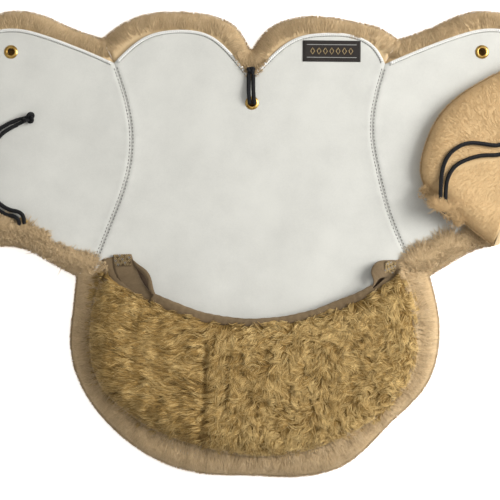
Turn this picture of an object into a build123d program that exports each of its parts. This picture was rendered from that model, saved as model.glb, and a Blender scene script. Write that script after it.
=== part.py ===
from build123d import *
import os
from math import cos, hypot, pi, radians, sin, tan

# Sheepskin seat saver for a riding saddle, lying on its fleece with the lining side up.
# +Y points to the front (pommel) of the saddle, +X to the right as seen from above, +Z up.
# The origin lies on the seat's centre line, on the surface that the fleece rests on. Millimetres.

# ---- driving dimensions -------------------------------------------------------------------------
PILE_AND_HIDE = 21.0  # wool and skin of one sheepskin panel
HIDE = 2.0  # the skin alone, at the top of that
LINING = 1.2
BODY_GAP = 0.3  # between solids of different moving bodies

FOLD_X = 139.5  # where each wing folds down the side of the saddle, from the centre line
FOLD_CLEARANCE = 1.8  # the fold axis lies this far above the lining
CREASE_FOOT = (239.4, 0.0)  # a point on the crease across the end of each wing
CREASE_SLANT = 19.05  # degrees that the crease leans outward from straight ahead

SEAM_WIDTH, SEAM_HEIGHT = 3.4, 0.7  # flat-stitched panel seam
OVERLOCK_WIDTH, OVERLOCK_HEIGHT = 2.6, 0.7  # serged edge of the lining

POCKET_WALL = 9.0
POCKET_GAP = 9.0  # free height inside the pocket as it lies
POCKET_LINING = 1.0
POCKET_PILE = 17.0
MOUTH_CENTRE = (1.0, 155.5)
MOUTH_R = 231.0
BINDING_WIDTH, BINDING_HEIGHT = 6.0, 5.0
ELASTIC_WIDTH, ELASTIC = 16.0, 1.5
TAB_LENGTH = 24.0
BARTACK = 0.7
LOOP_HEIGHT = 8.0

GROMMET_BORE_R = 3.4
GROMMET_BARREL_R = 4.0
GROMMET_FLANGE_R = 6.8
GROMMET_WASHER_R = 7.2
GROMMET_SHEET = 1.0
PILE_PARTING_R = 8.0  # wool parted under a grommet

CORD_D = 4.2
CORD_REST = CORD_D / 2 + 0.3  # height of a resting cord's centre over what it lies on
KNOT_SIZE = (12.0, 10.0, 8.0)
LABEL_LENGTH, LABEL_WIDTH, LABEL = 57.7, 21.2, 0.6
LABEL_AT = (80.7, 198.8)
LABEL_TILT = -0.5
LABEL_HEM = 1.6

# ---- cut edge of the skin, also the edge of the lining ------------------------------------------
FRONT_NOTCH = (0, 173)
LEFT_JUNCTION, RIGHT_JUNCTION = (-137, 187), (134, 186)  # where the wings meet the seat in front
LEFT_CORNER, RIGHT_CORNER = (-157, -15), (161, -15)  # and behind
LEFT_LOBE = [FRONT_NOTCH, (-18, 195), (-42, 215), (-76, 220), (-104, 214), (-123, 201), LEFT_JUNCTION]
RIGHT_LOBE = [FRONT_NOTCH, (20, 194), (45, 212), (75, 217), (106, 214), (125, 202), RIGHT_JUNCTION]
WING_FRONT = [(150, 193), (174, 203), (204, 214), (232, 221), (262, 218)]
WING_END = [(290, 201), (318, 164), (336, 120), (346, 80), (340, 45), (322, 22)]
WING_REAR = [(295, 22), (262, 20), (230, 15), (198, 2)]
SEAT_EDGE = [
    LEFT_CORNER, (-163, -61), (-163, -101), (-150, -142), (-115, -179), (-70, -204), (-23, -213),
    (30, -215), (85, -203), (128, -163), (165, -125), (170, -85), (167, -45), RIGHT_CORNER,
]  # fmt: skip
LEFT_SEAM = [LEFT_JUNCTION, (-120, 122), (-123, 78), (-139, 31), LEFT_CORNER]
RIGHT_SEAM = [RIGHT_JUNCTION, (121, 120), (127, 80), (140, 32), RIGHT_CORNER]

# ---- outer edge of the wool ---------------------------------------------------------------------
PILE_NOTCH = (0, 202)
LEFT_PILE_NOTCH, RIGHT_PILE_NOTCH = (-150, 214), (148, 213)
LEFT_PILE_CORNER, RIGHT_PILE_CORNER = (-177, -27), (181, -27)
LEFT_PILE_LOBE = [PILE_NOTCH, (-14, 225), (-38, 237), (-76, 241), (-112, 237), (-136, 225), LEFT_PILE_NOTCH]
RIGHT_PILE_LOBE = [PILE_NOTCH, (14, 221), (40, 234), (76, 236), (110, 230), (134, 223), RIGHT_PILE_NOTCH]
PILE_WING = [
    (183, 226), (214, 239), (250, 240), (283, 223), (310, 197), (337, 158), (355, 120), (365, 80),
    (357, 38), (338, 10), (305, 4), (265, 2), (230, 0), (204, -13),
]  # fmt: skip
PILE_SEAT = [
    LEFT_PILE_CORNER, (-180, -56), (-183, -96), (-172, -137), (-144, -176), (-103, -208), (-56, -225),
    (0, -228), (50, -229), (97, -216), (140, -176), (177, -137), (189, -104), (189, -60), RIGHT_PILE_CORNER,
]  # fmt: skip

# ---- cantle pocket ------------------------------------------------------------------------------
POCKET_HALF = [(147, -18), (158, -45), (164, -80), (162, -112), (148, -142), (118, -168), (75, -191)]
POCKET_FOOT = (0, -204)
LEFT_LOOP = [(-128, -13), (-112, -13), (-102, -23), (-99, -35), (-93, -46)]
RIGHT_LOOP = [(138, -15), (125, -15), (118, -22), (113, -32), (99, -42)]
LEFT_TAB_AT, LEFT_TAB_TURN = (-131, -9), 35.0
RIGHT_TAB_AT, RIGHT_TAB_TURN = (138, -9), -38.0

# ---- grommets and ties --------------------------------------------------------------------------
FRONT_GROMMET = (1, 147)
LEFT_TIE_GROMMET = (-229, 26)
LEFT_EYELET, RIGHT_EYELET = (-240, 198), (231, 198)

TOP = PILE_AND_HIDE + LINING  # upper face of the lining
FOLD_AXIS_Z = TOP + FOLD_CLEARANCE
CREASE_AXIS_Z = TOP + BODY_GAP / 2
TIP_PILE_TOP = 2 * CREASE_AXIS_Z  # upper face of the wool on the folded wing end
POCKET_CEILING = TOP + POCKET_GAP
POCKET_PLATE = POCKET_CEILING + POCKET_LINING
POCKET_TOP = POCKET_PLATE + POCKET_PILE
FLANGE_TOP = TOP + GROMMET_SHEET
ON_LINING = TOP + CORD_REST
ON_TIP = TIP_PILE_TOP + CORD_REST
FAR = 600.0  # larger than the object, for cutting

CORD_START = FLANGE_TOP + 1.8
FRONT_TIE_A = [
    (-1.4, 146, CORD_START), (-2.0, 152, 28.4), (-2.4, 159, 27.6), (-2.3, 167, 25.6), (-2.3, 175, 25.3),
]  # fmt: skip
FRONT_TIE_B = [
    (3.4, 146, CORD_START), (2.8, 152, 28.4), (2.3, 159, 27.6), (2.3, 167, 25.6), (2.3, 175, 25.3),
]  # fmt: skip
FRONT_KNOT_AT = (0, 180, TOP + 5.0)
LEFT_TIE_A = [
    (-226.6, 26, CORD_START), (-225.5, 32, 28.6), (-230, 38, 28), (-242, 40, ON_LINING), (-254, 48, ON_LINING),
    (-261, 64, ON_LINING), (-262, 84, ON_LINING), (-258, 104, ON_LINING), (-247, 119, ON_LINING),
    (-233, 125, ON_LINING),
]  # fmt: skip
LEFT_TIE_B = [
    (-231.4, 25, CORD_START), (-231, 30, 28.2), (-236, 34, 27.6), (-245, 35, ON_LINING), (-258, 44, ON_LINING),
    (-266, 62, ON_LINING), (-267, 85, ON_LINING), (-263, 107, ON_LINING), (-250, 123.5, ON_LINING),
    (-233, 130, ON_LINING),
]  # fmt: skip
LEFT_KNOT_AT = (-226, 128, TOP + 4.2)
RIGHT_TIE_A = [
    (186, 44.5, 33), (186, 39.5, 40), (186, 43.5, 48.5), (186, 56, 50), (187, 73, ON_TIP), (190.5, 88, ON_TIP),
    (199, 99, ON_TIP), (213, 106, ON_TIP), (229, 104.5, ON_TIP), (244, 102, ON_TIP), (256, 109, ON_TIP),
    (264, 124, ON_TIP), (268, 142, ON_TIP),
]  # fmt: skip
RIGHT_TIE_B = [
    (190.8, 40.5, 33), (190.8, 35.5, 40), (190.8, 39.5, 48.5), (190.8, 54, 50), (192.5, 70, ON_TIP),
    (200, 83, ON_TIP), (214, 90, ON_TIP), (229, 93.5, ON_TIP), (245, 93, ON_TIP), (260, 100, ON_TIP),
    (269, 117, ON_TIP), (272.8, 142, ON_TIP),
]  # fmt: skip
RIGHT_KNOT_AT = (270.5, 148, TIP_PILE_TOP + 4.2)

parts = {}


def keep(name, part):
    """Labels a finished piece and lists it for writing."""
    part.label = name
    parts[name] = part


def mirrored(points):
    """The same points on the other side of the centre line."""
    return [(-x, y) for x, y in points]


def shifted(points, distance):
    """An open outline moved to the left of its own direction."""
    moved = []
    for i, (x, y) in enumerate(points):
        before, after = points[max(i - 1, 0)], points[min(i + 1, len(points) - 1)]
        dx, dy = after[0] - before[0], after[1] - before[1]
        length = hypot(dx, dy)
        moved.append((x - dy / length * distance, y + dx / length * distance))
    return moved


# ---- outlines -----------------------------------------------------------------------------------
WING_EDGE = WING_FRONT + WING_END + WING_REAR
with BuildSketch() as hide_outline:
    with BuildLine():
        Spline(*LEFT_LOBE)
        Spline(LEFT_JUNCTION, *mirrored(WING_EDGE), LEFT_CORNER)
        Spline(*SEAT_EDGE)
        Spline(RIGHT_JUNCTION, *WING_EDGE, RIGHT_CORNER)
        Spline(*RIGHT_LOBE)
    make_face()

with BuildSketch() as pile_outline:
    with BuildLine():
        Spline(*LEFT_PILE_LOBE)
        Spline(LEFT_PILE_NOTCH, *mirrored(PILE_WING), LEFT_PILE_CORNER)
        Spline(*PILE_SEAT)
        Spline(RIGHT_PILE_NOTCH, *PILE_WING, RIGHT_PILE_CORNER)
        Spline(*RIGHT_PILE_LOBE)
    make_face()

# Everything between the two panel seams, with the seams run on past both edges.
LEFT_FRONT_END, RIGHT_FRONT_END = (-161, 240), (159, 240)
LEFT_REAR_END, RIGHT_REAR_END = (-217, -51), (221, -51)
with BuildSketch() as seat_zone:
    with BuildLine():
        Polyline(LEFT_JUNCTION, LEFT_FRONT_END, (LEFT_FRONT_END[0], FAR), (RIGHT_FRONT_END[0], FAR))
        Polyline((RIGHT_FRONT_END[0], FAR), RIGHT_FRONT_END, RIGHT_JUNCTION)
        Spline(*RIGHT_SEAM)
        Polyline(RIGHT_CORNER, RIGHT_REAR_END, (RIGHT_REAR_END[0], -FAR), (LEFT_REAR_END[0], -FAR))
        Polyline((LEFT_REAR_END[0], -FAR), LEFT_REAR_END, LEFT_CORNER)
        Spline(*LEFT_SEAM)
    make_face()


def half_plane(foot, angle):
    """What lies to the right of the line through foot, which leans angle degrees clockwise from +Y."""
    with BuildSketch() as zone:
        with Locations(Location((foot[0], foot[1], 0), (0, 0, -angle))):
            Rectangle(FAR, 2 * FAR, align=(Align.MIN, Align.CENTER))
    return zone.sketch


def outward_of(side, start):
    """What lies further from the centre line than start, on that side."""
    return half_plane((side * start, 0), 0 if side > 0 else 180)


def panel(outline, inside=(), outside=()):
    """The outline, within each of inside and clear of each of outside."""
    with BuildSketch() as cut:
        add(outline)
        for zone in inside:
            add(zone, mode=Mode.INTERSECT)
        for zone in outside:
            add(zone, mode=Mode.SUBTRACT)
    return cut.sketch


def ribbon(points, width, low, high, inside=()):
    """A flat strip along an open outline, to the left of its direction."""
    inner = shifted(points, width)
    with BuildPart() as strip:
        with BuildSketch(Plane.XY.offset(low)):
            with BuildLine():
                Spline(*points)
                Line(points[-1], inner[-1])
                Spline(*inner)
                Line(inner[0], points[0])
            make_face()
            for zone in inside:
                add(zone, mode=Mode.INTERSECT)
        extrude(amount=high - low)
    return strip.part


def sheepskin(sketch, openings=()):
    """Wool and skin of a panel, with a hole and parted wool at each grommet."""
    with BuildPart() as piece:
        with BuildSketch():
            add(sketch)
        extrude(amount=PILE_AND_HIDE)
        for place in openings:
            with Locations((place[0], place[1], 0)):
                Cylinder(
                    PILE_PARTING_R,
                    PILE_AND_HIDE - HIDE,
                    align=(Align.CENTER, Align.CENTER, Align.MIN),
                    mode=Mode.SUBTRACT,
                )
                Cylinder(
                    GROMMET_BARREL_R,
                    PILE_AND_HIDE,
                    align=(Align.CENTER, Align.CENTER, Align.MIN),
                    mode=Mode.SUBTRACT,
                )
    return piece.part


def layer(sketch, low, high, openings=()):
    """A flat layer between two heights, with a hole at each grommet."""
    with BuildPart() as piece:
        with BuildSketch(Plane.XY.offset(low)):
            add(sketch)
            for place in openings:
                with Locations(place):
                    Circle(GROMMET_BARREL_R, mode=Mode.SUBTRACT)
        extrude(amount=high - low)
    return piece.part


def lining(sketch, openings=()):
    return layer(sketch, PILE_AND_HIDE, TOP, openings)


# ---- seat panel ---------------------------------------------------------------------------------
keep("seat_sheepskin", sheepskin(panel(pile_outline.sketch, [seat_zone.sketch]), [FRONT_GROMMET]))
keep("seat_lining", lining(panel(hide_outline.sketch, [seat_zone.sketch]), [FRONT_GROMMET]))
for prefix, seam in (("left", LEFT_SEAM), ("right", RIGHT_SEAM)):
    run = [(seam[0][0], seam[0][1] - 7), *seam[1:-1], (seam[-1][0], seam[-1][1] + 8)]
    inward = SEAM_WIDTH if prefix == "left" else -SEAM_WIDTH
    keep(f"{prefix}_seam_stitching", ribbon(shifted(run, inward * 0.9), inward * 0.5, TOP, TOP + SEAM_HEIGHT))
left_lobe_run = [(x - 1, y) for x, y in LEFT_LOBE[:-1]] + [(-133, 192)]
right_lobe_run = [(x + 1, y) for x, y in RIGHT_LOBE[:-1]] + [(131, 191)]
keep("left_lobe_overlock", ribbon(left_lobe_run, OVERLOCK_WIDTH, TOP, TOP + OVERLOCK_HEIGHT))
keep("right_lobe_overlock", ribbon(right_lobe_run, -OVERLOCK_WIDTH, TOP, TOP + OVERLOCK_HEIGHT))

# ---- wings --------------------------------------------------------------------------------------
tip_limit = half_plane(CREASE_FOOT, CREASE_SLANT)
for side, prefix, eyelet in ((-1, "left", LEFT_EYELET), (1, "right", RIGHT_EYELET)):
    this_side = outward_of(side, 0)
    fixed = outward_of(side, FOLD_X)
    moving = outward_of(side, FOLD_X + BODY_GAP)
    root_outside = [seat_zone.sketch, fixed]
    clear_of_seat = seat_zone.sketch.moved(Location((side * BODY_GAP * 1.2, 0, 0)))
    wing_outside = [clear_of_seat, tip_limit] if side > 0 else [clear_of_seat]
    openings = [eyelet] if side > 0 else [eyelet, LEFT_TIE_GROMMET]
    front_edge = WING_FRONT if side > 0 else mirrored(WING_FRONT + WING_END[:2])
    keep(f"{prefix}_wing_root_sheepskin", sheepskin(panel(pile_outline.sketch, [this_side], root_outside)))
    keep(f"{prefix}_wing_root_lining", lining(panel(hide_outline.sketch, [this_side], root_outside)))
    keep(f"{prefix}_wing_sheepskin", sheepskin(panel(pile_outline.sketch, [moving], wing_outside), openings))
    keep(f"{prefix}_wing_lining", lining(panel(hide_outline.sketch, [moving], wing_outside), openings))
    keep(
        f"{prefix}_wing_overlock",
        ribbon(front_edge, -side * OVERLOCK_WIDTH, TOP, TOP + OVERLOCK_HEIGHT, [outward_of(side, FOLD_X + 3)]),
    )

# The end of the right wing lies folded over on the lining: it is made flat, then turned over the crease.
crease_axis = Axis(
    (CREASE_FOOT[0], CREASE_FOOT[1], CREASE_AXIS_Z),
    (sin(radians(CREASE_SLANT)), cos(radians(CREASE_SLANT)), 0),
)
tip_zone = half_plane((CREASE_FOOT[0] + BODY_GAP / cos(radians(CREASE_SLANT)), 0), CREASE_SLANT)
keep("right_tip_sheepskin", sheepskin(panel(pile_outline.sketch, [tip_zone])).rotate(crease_axis, -180))
keep("right_tip_lining", lining(panel(hide_outline.sketch, [tip_zone])).rotate(crease_axis, -180))

# ---- cantle pocket ------------------------------------------------------------------------------
def pocket_shape(inset):
    """The pocket's plan, moved in from its sides and back by inset."""
    right = shifted(POCKET_HALF, -inset)
    foot = (POCKET_FOOT[0], POCKET_FOOT[1] + inset)
    with BuildSketch() as plan:
        with BuildLine():
            Spline(*right, foot, *reversed(mirrored(right)))
            Line(right[0], mirrored(right)[0])
        make_face()
        with Locations(MOUTH_CENTRE):
            Circle(MOUTH_R, mode=Mode.SUBTRACT)
    return plan.sketch


def mouth_band(inner_r, outer_r, half_width, low, high):
    """A strip that follows the pocket's mouth."""
    with BuildPart() as band:
        with BuildSketch(Plane.XY.offset(low)):
            with Locations(MOUTH_CENTRE):
                Circle(outer_r)
                Circle(inner_r, mode=Mode.SUBTRACT)
            Rectangle(2 * half_width, FAR, align=(Align.CENTER, Align.MAX), mode=Mode.INTERSECT)
        extrude(amount=high - low)
    return band.part


with BuildPart() as pocket_sheepskin:
    with BuildSketch(Plane.XY.offset(TOP)):
        add(pocket_shape(0))
    extrude(amount=POCKET_TOP - TOP)
    with BuildSketch(Plane.XY.offset(TOP)):
        add(pocket_shape(POCKET_WALL))
    extrude(amount=POCKET_PLATE - TOP, mode=Mode.SUBTRACT)
keep("pocket_sheepskin", pocket_sheepskin.part)
keep("pocket_lining", layer(pocket_shape(POCKET_WALL), POCKET_CEILING, POCKET_PLATE))
keep(
    "mouth_binding",
    mouth_band(MOUTH_R - BINDING_WIDTH, MOUTH_R, 138, POCKET_CEILING, POCKET_CEILING + BINDING_HEIGHT),
)
keep(
    "mouth_elastic",
    mouth_band(MOUTH_R, MOUTH_R + ELASTIC_WIDTH, 134, POCKET_CEILING - ELASTIC, POCKET_CEILING),
)
for prefix, place, turn, loop, reach in (
    ("left", LEFT_TAB_AT, LEFT_TAB_TURN, LEFT_LOOP, -1),
    ("right", RIGHT_TAB_AT, RIGHT_TAB_TURN, RIGHT_LOOP, 1),
):
    with BuildPart() as tab:
        with Locations(Location((place[0], place[1], TOP), (0, 0, turn))):
            Box(TAB_LENGTH, ELASTIC_WIDTH, ELASTIC, align=(Align.CENTER, Align.CENTER, Align.MIN))
        fillet(tab.edges().filter_by(Axis.Z), 1.5)
    keep(f"{prefix}_elastic_tab", tab.part)
    with BuildPart() as bartack:
        with Locations(Location((place[0], place[1], TOP + ELASTIC), (0, 0, turn))):
            Box(TAB_LENGTH - 7, ELASTIC_WIDTH - 4, BARTACK, align=(Align.CENTER, Align.CENTER, Align.MIN))
    keep(f"{prefix}_bartack", bartack.part)
    keep(
        f"{prefix}_elastic_loop",
        ribbon(loop, reach * ELASTIC, TOP + ELASTIC + BARTACK, TOP + ELASTIC + BARTACK + LOOP_HEIGHT),
    )

# ---- label --------------------------------------------------------------------------------------
label_place = Location((LABEL_AT[0], LABEL_AT[1], TOP), (0, 0, LABEL_TILT))
with BuildPart() as label:
    with Locations(label_place):
        Box(LABEL_LENGTH, LABEL_WIDTH, LABEL, align=(Align.CENTER, Align.CENTER, Align.MIN))
keep("label", label.part)
with BuildPart() as label_stitching:
    with BuildSketch(Plane.XY.offset(TOP + LABEL)):
        with Locations(Location((LABEL_AT[0], LABEL_AT[1], 0), (0, 0, LABEL_TILT))):
            Rectangle(LABEL_LENGTH - LABEL_HEM, LABEL_WIDTH - LABEL_HEM)
            Rectangle(LABEL_LENGTH - 2 * LABEL_HEM, LABEL_WIDTH - 2 * LABEL_HEM, mode=Mode.SUBTRACT)
    extrude(amount=0.3)
keep("label_stitching", label_stitching.part)


# ---- grommets -----------------------------------------------------------------------------------
def grommet(name, place):
    """A flanged eyelet on the lining, and the washer that it is set against under the skin."""
    washer_z = PILE_AND_HIDE - HIDE - GROMMET_SHEET
    with BuildPart() as flanged:
        with BuildSketch(Plane.XY.offset(washer_z)):
            with Locations(place):
                Circle(GROMMET_BARREL_R)
                Circle(GROMMET_BORE_R, mode=Mode.SUBTRACT)
        extrude(amount=TOP - washer_z)
        with BuildSketch(Plane.XY.offset(TOP)):
            with Locations(place):
                Circle(GROMMET_FLANGE_R)
                Circle(GROMMET_BORE_R, mode=Mode.SUBTRACT)
        extrude(amount=GROMMET_SHEET)
        fillet(flanged.faces().sort_by(Axis.Z)[-1].outer_wire().edges(), 0.6)
    keep(f"{name}_grommet", flanged.part)
    with BuildPart() as washer:
        with BuildSketch(Plane.XY.offset(washer_z)):
            with Locations(place):
                Circle(GROMMET_WASHER_R)
                Circle(GROMMET_BARREL_R, mode=Mode.SUBTRACT)
        extrude(amount=GROMMET_SHEET)
    keep(f"{name}_washer", washer.part)


grommet("front", FRONT_GROMMET)
grommet("left_tie", LEFT_TIE_GROMMET)
grommet("left_eyelet", LEFT_EYELET)
grommet("right_eyelet", RIGHT_EYELET)


# ---- ties ---------------------------------------------------------------------------------------
def cord_radii(points):
    """One radius for each corner of a cord's path, as large as its two runs allow."""
    radii = []
    for a, b, c in zip(points, points[1:], points[2:]):
        first, second = Vector(*b) - Vector(*a), Vector(*c) - Vector(*b)
        half_turn = radians(first.get_angle(second)) / 2
        radii.append(0.45 * min(first.length, second.length) / tan(half_turn))
    return radii


def cord(name, points):
    """One strand of round cord along straight runs joined by tangent arcs."""
    radii = cord_radii(points)
    with BuildPart() as strand:
        with BuildLine() as path:
            FilletPolyline(*points, radius=radii)
        with BuildSketch(path.line ^ 0):
            Circle(CORD_D / 2)
        sweep()
    length = sum(edge.length for edge in path.edges())
    share = strand.part.volume / (length * pi * CORD_D**2 / 4)
    print(name, "length", round(length, 1), "radii", [round(r) for r in radii], "volume", round(share, 3))
    keep(name, strand.part)


def knot(name, place, turn):
    """An overhand knot's outer shape."""
    with BuildPart() as tied:
        with BuildSketch(Plane.XZ):
            Ellipse(KNOT_SIZE[0] / 2, KNOT_SIZE[2] / 2)
            Rectangle(KNOT_SIZE[0], KNOT_SIZE[2], align=(Align.CENTER, Align.MAX), mode=Mode.SUBTRACT)
        revolve(axis=Axis.X)
    keep(name, tied.part.rotate(Axis.Z, turn).translate(place))


cord("front_tie_strand_a", FRONT_TIE_A)
cord("front_tie_strand_b", FRONT_TIE_B)
knot("front_tie_knot", FRONT_KNOT_AT, 0)
cord("left_tie_strand_a", LEFT_TIE_A)
cord("left_tie_strand_b", LEFT_TIE_B)
knot("left_tie_knot", LEFT_KNOT_AT, 0)
cord("right_tie_strand_a", RIGHT_TIE_A)
cord("right_tie_strand_b", RIGHT_TIE_B)
knot("right_tie_knot", RIGHT_KNOT_AT, 90)

os.makedirs("parts", exist_ok=True)
for name, part in parts.items():
    export_step(part, f"parts/{name}.step")
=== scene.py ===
import math

import bmesh
import bpy
import numpy as np
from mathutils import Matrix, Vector
from mathutils.geometry import delaunay_2d_cdt


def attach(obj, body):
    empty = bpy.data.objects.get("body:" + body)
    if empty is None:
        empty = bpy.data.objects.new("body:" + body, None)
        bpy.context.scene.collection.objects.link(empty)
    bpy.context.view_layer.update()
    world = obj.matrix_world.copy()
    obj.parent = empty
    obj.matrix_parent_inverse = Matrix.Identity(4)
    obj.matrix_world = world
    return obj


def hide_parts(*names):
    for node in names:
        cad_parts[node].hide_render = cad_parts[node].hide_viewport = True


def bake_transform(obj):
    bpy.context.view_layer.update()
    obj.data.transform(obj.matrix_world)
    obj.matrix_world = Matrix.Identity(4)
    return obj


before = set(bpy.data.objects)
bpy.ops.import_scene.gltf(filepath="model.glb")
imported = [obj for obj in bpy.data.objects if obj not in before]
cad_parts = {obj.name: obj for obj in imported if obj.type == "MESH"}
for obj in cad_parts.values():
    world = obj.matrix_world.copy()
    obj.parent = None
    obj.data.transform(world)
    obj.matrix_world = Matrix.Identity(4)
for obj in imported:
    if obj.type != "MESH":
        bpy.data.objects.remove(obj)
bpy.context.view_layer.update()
MM = 0.001
RNG = np.random.default_rng(41)

# ---- heights and places, in millimetres, as in the CAD model
TOP = 22.2
TIP_TOP = 44.7
FOLD_X, FOLD_BAND = 139.5, 13
CREASE_FOOT = np.array([239.4, 0.0])
CREASE_OUT = np.array([0.945233, -0.326395])
MOUTH = np.array([1.0, 155.5])
MOUTH_R = 231.0


# ---- small tools
def linked(name, data):
    """A new object in the scene."""
    obj = bpy.data.objects.new(name, data)
    bpy.context.scene.collection.objects.link(obj)
    return obj


def make_mesh(name, verts, faces, smooth=True):
    """A mesh object from millimetre coordinates."""
    mesh = bpy.data.meshes.new(name)
    verts = np.asarray(verts, float) * MM
    faces = np.asarray(faces, dtype=np.int32)
    n, k = faces.shape
    mesh.vertices.add(len(verts))
    mesh.vertices.foreach_set("co", verts.astype(np.float32).ravel())
    mesh.loops.add(n * k)
    mesh.loops.foreach_set("vertex_index", faces.ravel())
    mesh.polygons.add(n)
    mesh.polygons.foreach_set("loop_start", np.arange(0, n * k, k, dtype=np.int32))
    mesh.polygons.foreach_set("loop_total", np.full(n, k, dtype=np.int32))
    mesh.update(calc_edges=True)
    mesh.validate()
    mesh.polygons.foreach_set("use_smooth", np.full(len(mesh.polygons), smooth))
    return linked(name, mesh)


def attribute(obj, name, values):
    """A per-vertex value that a material reads."""
    layer = obj.data.attributes.new(name, "FLOAT", "POINT")
    layer.data.foreach_set("value", np.asarray(values, np.float32))


def wave(x, y, seed, scale):
    """Smooth noise between about -1 and 1, as a sum of turned sines."""
    rng = np.random.default_rng(seed)
    total = np.zeros_like(np.asarray(x, float))
    for _ in range(7):
        angle = rng.uniform(0, 2 * math.pi)
        length = scale * rng.uniform(0.6, 1.7)
        phase = rng.uniform(0, 2 * math.pi)
        total += np.sin((x * math.cos(angle) + y * math.sin(angle)) * 2 * math.pi / length + phase)
    return total / 3.2


def smooth(t):
    t = np.clip(t, 0, 1)
    return t * t * (3 - 2 * t)


def unit(v):
    """Vectors brought to length one."""
    return v / np.maximum(np.linalg.norm(v, axis=-1), 1e-6)[..., None]


def left_of(v):
    """Flat vectors turned a quarter to the left."""
    return np.column_stack([-v[:, 1], v[:, 0]])


def swung(v, angle):
    """Flat vectors, each turned to the left by its own angle."""
    return v * np.cos(angle)[:, None] + left_of(v) * np.sin(angle)[:, None]


def run_along(chain):
    """The distance along a chain at each of its points."""
    return np.concatenate([[0], np.cumsum(np.linalg.norm(np.diff(chain, axis=0), axis=1))])


def angles(n):
    """Angles evenly all the way round."""
    return np.arange(n) * 2 * math.pi / n


def towards(angle):
    """Flat unit vectors at some angles."""
    return np.column_stack([np.cos(angle), np.sin(angle)])


def net(rows, across, round_rows=False, round_across=True):
    """The faces of a net of points, (rows, across), closed on itself where asked."""
    i, j = np.meshgrid(np.arange(rows - (not round_rows)), np.arange(across - (not round_across)), indexing="ij")
    i2, j2 = (i + 1) % rows, (j + 1) % across
    return np.stack([i * across + j, i * across + j2, i2 * across + j2, i2 * across + j], -1).reshape(-1, 4)


def spaced(loop, step):
    """A closed loop with points about step apart, and its corners kept."""
    out = []
    for a, b in zip(loop, np.roll(loop, -1, axis=0)):
        n = max(1, int(round(np.linalg.norm(b - a) / step)))
        out += [a + (b - a) * k / n for k in range(n)]
    out = np.array(out)
    keep = [0]
    for i in range(1, len(out)):
        if np.linalg.norm(out[i] - out[keep[-1]]) > 0.35 * step:
            keep.append(i)
    return out[keep]


def inside(points, loop):
    """Which points lie in a closed loop."""
    x, y = points[:, 0][:, None], points[:, 1][:, None]
    result = np.zeros(len(points), bool)
    for s in range(0, len(points), 20000):
        xs, ys = x[s : s + 20000], y[s : s + 20000]
        a, b = loop, np.roll(loop, -1, axis=0)
        cross = (a[:, 1] > ys) != (b[:, 1] > ys)
        with np.errstate(divide="ignore", invalid="ignore"):
            at = (b[:, 0] - a[:, 0]) * (ys - a[:, 1]) / (b[:, 1] - a[:, 1]) + a[:, 0]
        result[s : s + 20000] = (np.sum(cross & (xs < at), axis=1) % 2) == 1
    return result


def distance(points, chains):
    """Distance from each point to the nearest of some chains, and the unit direction towards it."""
    chains = chains if isinstance(chains, list) else [chains]
    a = np.vstack([c[:-1] for c in chains])
    d = np.vstack([c[1:] for c in chains]) - a
    length2 = np.maximum((d**2).sum(1), 1e-9)
    best = np.empty(len(points))
    toward = np.empty((len(points), 2))
    for s in range(0, len(points), 4000):
        p = points[s : s + 4000]
        t = np.clip(((p[:, None] - a[None]) * d[None]).sum(2) / length2, 0, 1)
        gap = a[None] + d[None] * t[..., None] - p[:, None]
        dist = np.linalg.norm(gap, axis=2)
        i = dist.argmin(1)
        rows = np.arange(len(p))
        best[s : s + 4000] = dist[rows, i]
        toward[s : s + 4000] = unit(gap[rows, i])
    return best, toward


def signed_area(loop):
    x, y = loop[:, 0], loop[:, 1]
    return 0.5 * float(np.sum(x * np.roll(y, -1) - np.roll(x, -1) * y))


def counter_clockwise(loop):
    return loop if signed_area(loop) > 0 else loop[::-1]


def filled(loop, step, rings=(), edges=(), holes=()):
    """Points and triangles that fill a loop, with rings of points beside edges and round holes left open."""
    lo, hi = loop.min(0), loop.max(0)
    gx = np.arange(lo[0], hi[0], step)
    gy = np.arange(lo[1], hi[1], step * 0.87)
    px, py = np.meshgrid(gx, gy)
    px = px + (np.arange(len(gy)) % 2)[:, None] * step / 2
    grid = np.stack([px.ravel(), py.ravel()], 1)
    grid = grid[inside(grid, loop)]
    closed = np.vstack([loop, loop[:1]])
    grid = grid[distance(grid, closed)[0] > 0.55 * step]
    if rings:
        edges = list(edges)
        grid = grid[distance(grid, edges)[0] > rings[-1] + step * 0.4]
        extra = []
        for r in rings:
            ring = np.vstack([shifted(e, r) for e in edges])
            ring = ring[distance(ring, edges)[0] > r * 0.93]
            ring = ring[inside(ring, loop)]
            extra.append(ring[distance(ring, closed)[0] > min(1.2, 0.6 * rings[0])])
        grid = np.vstack([grid, *extra])
    for x, y, r in holes:
        grid = grid[np.hypot(grid[:, 0] - x, grid[:, 1] - y) > r + 4.5]
        grid = np.vstack([grid, *(towards(angles(20)) * (r + more) + (x, y) for more in (0, 2, 4))])
    n = len(loop)
    out = delaunay_2d_cdt([Vector(p) for p in np.vstack([loop, grid])], [], [list(range(n))], 1, 1e-4)
    pts = np.array([v[:] for v in out[0]])
    tris = np.array([f for f in out[2] if len(f) == 3], int)
    centre = pts[tris].mean(1)
    for x, y, r in holes:
        keep = np.hypot(centre[:, 0] - x, centre[:, 1] - y) > r
        tris, centre = tris[keep], centre[keep]
    return pts, tris


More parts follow.
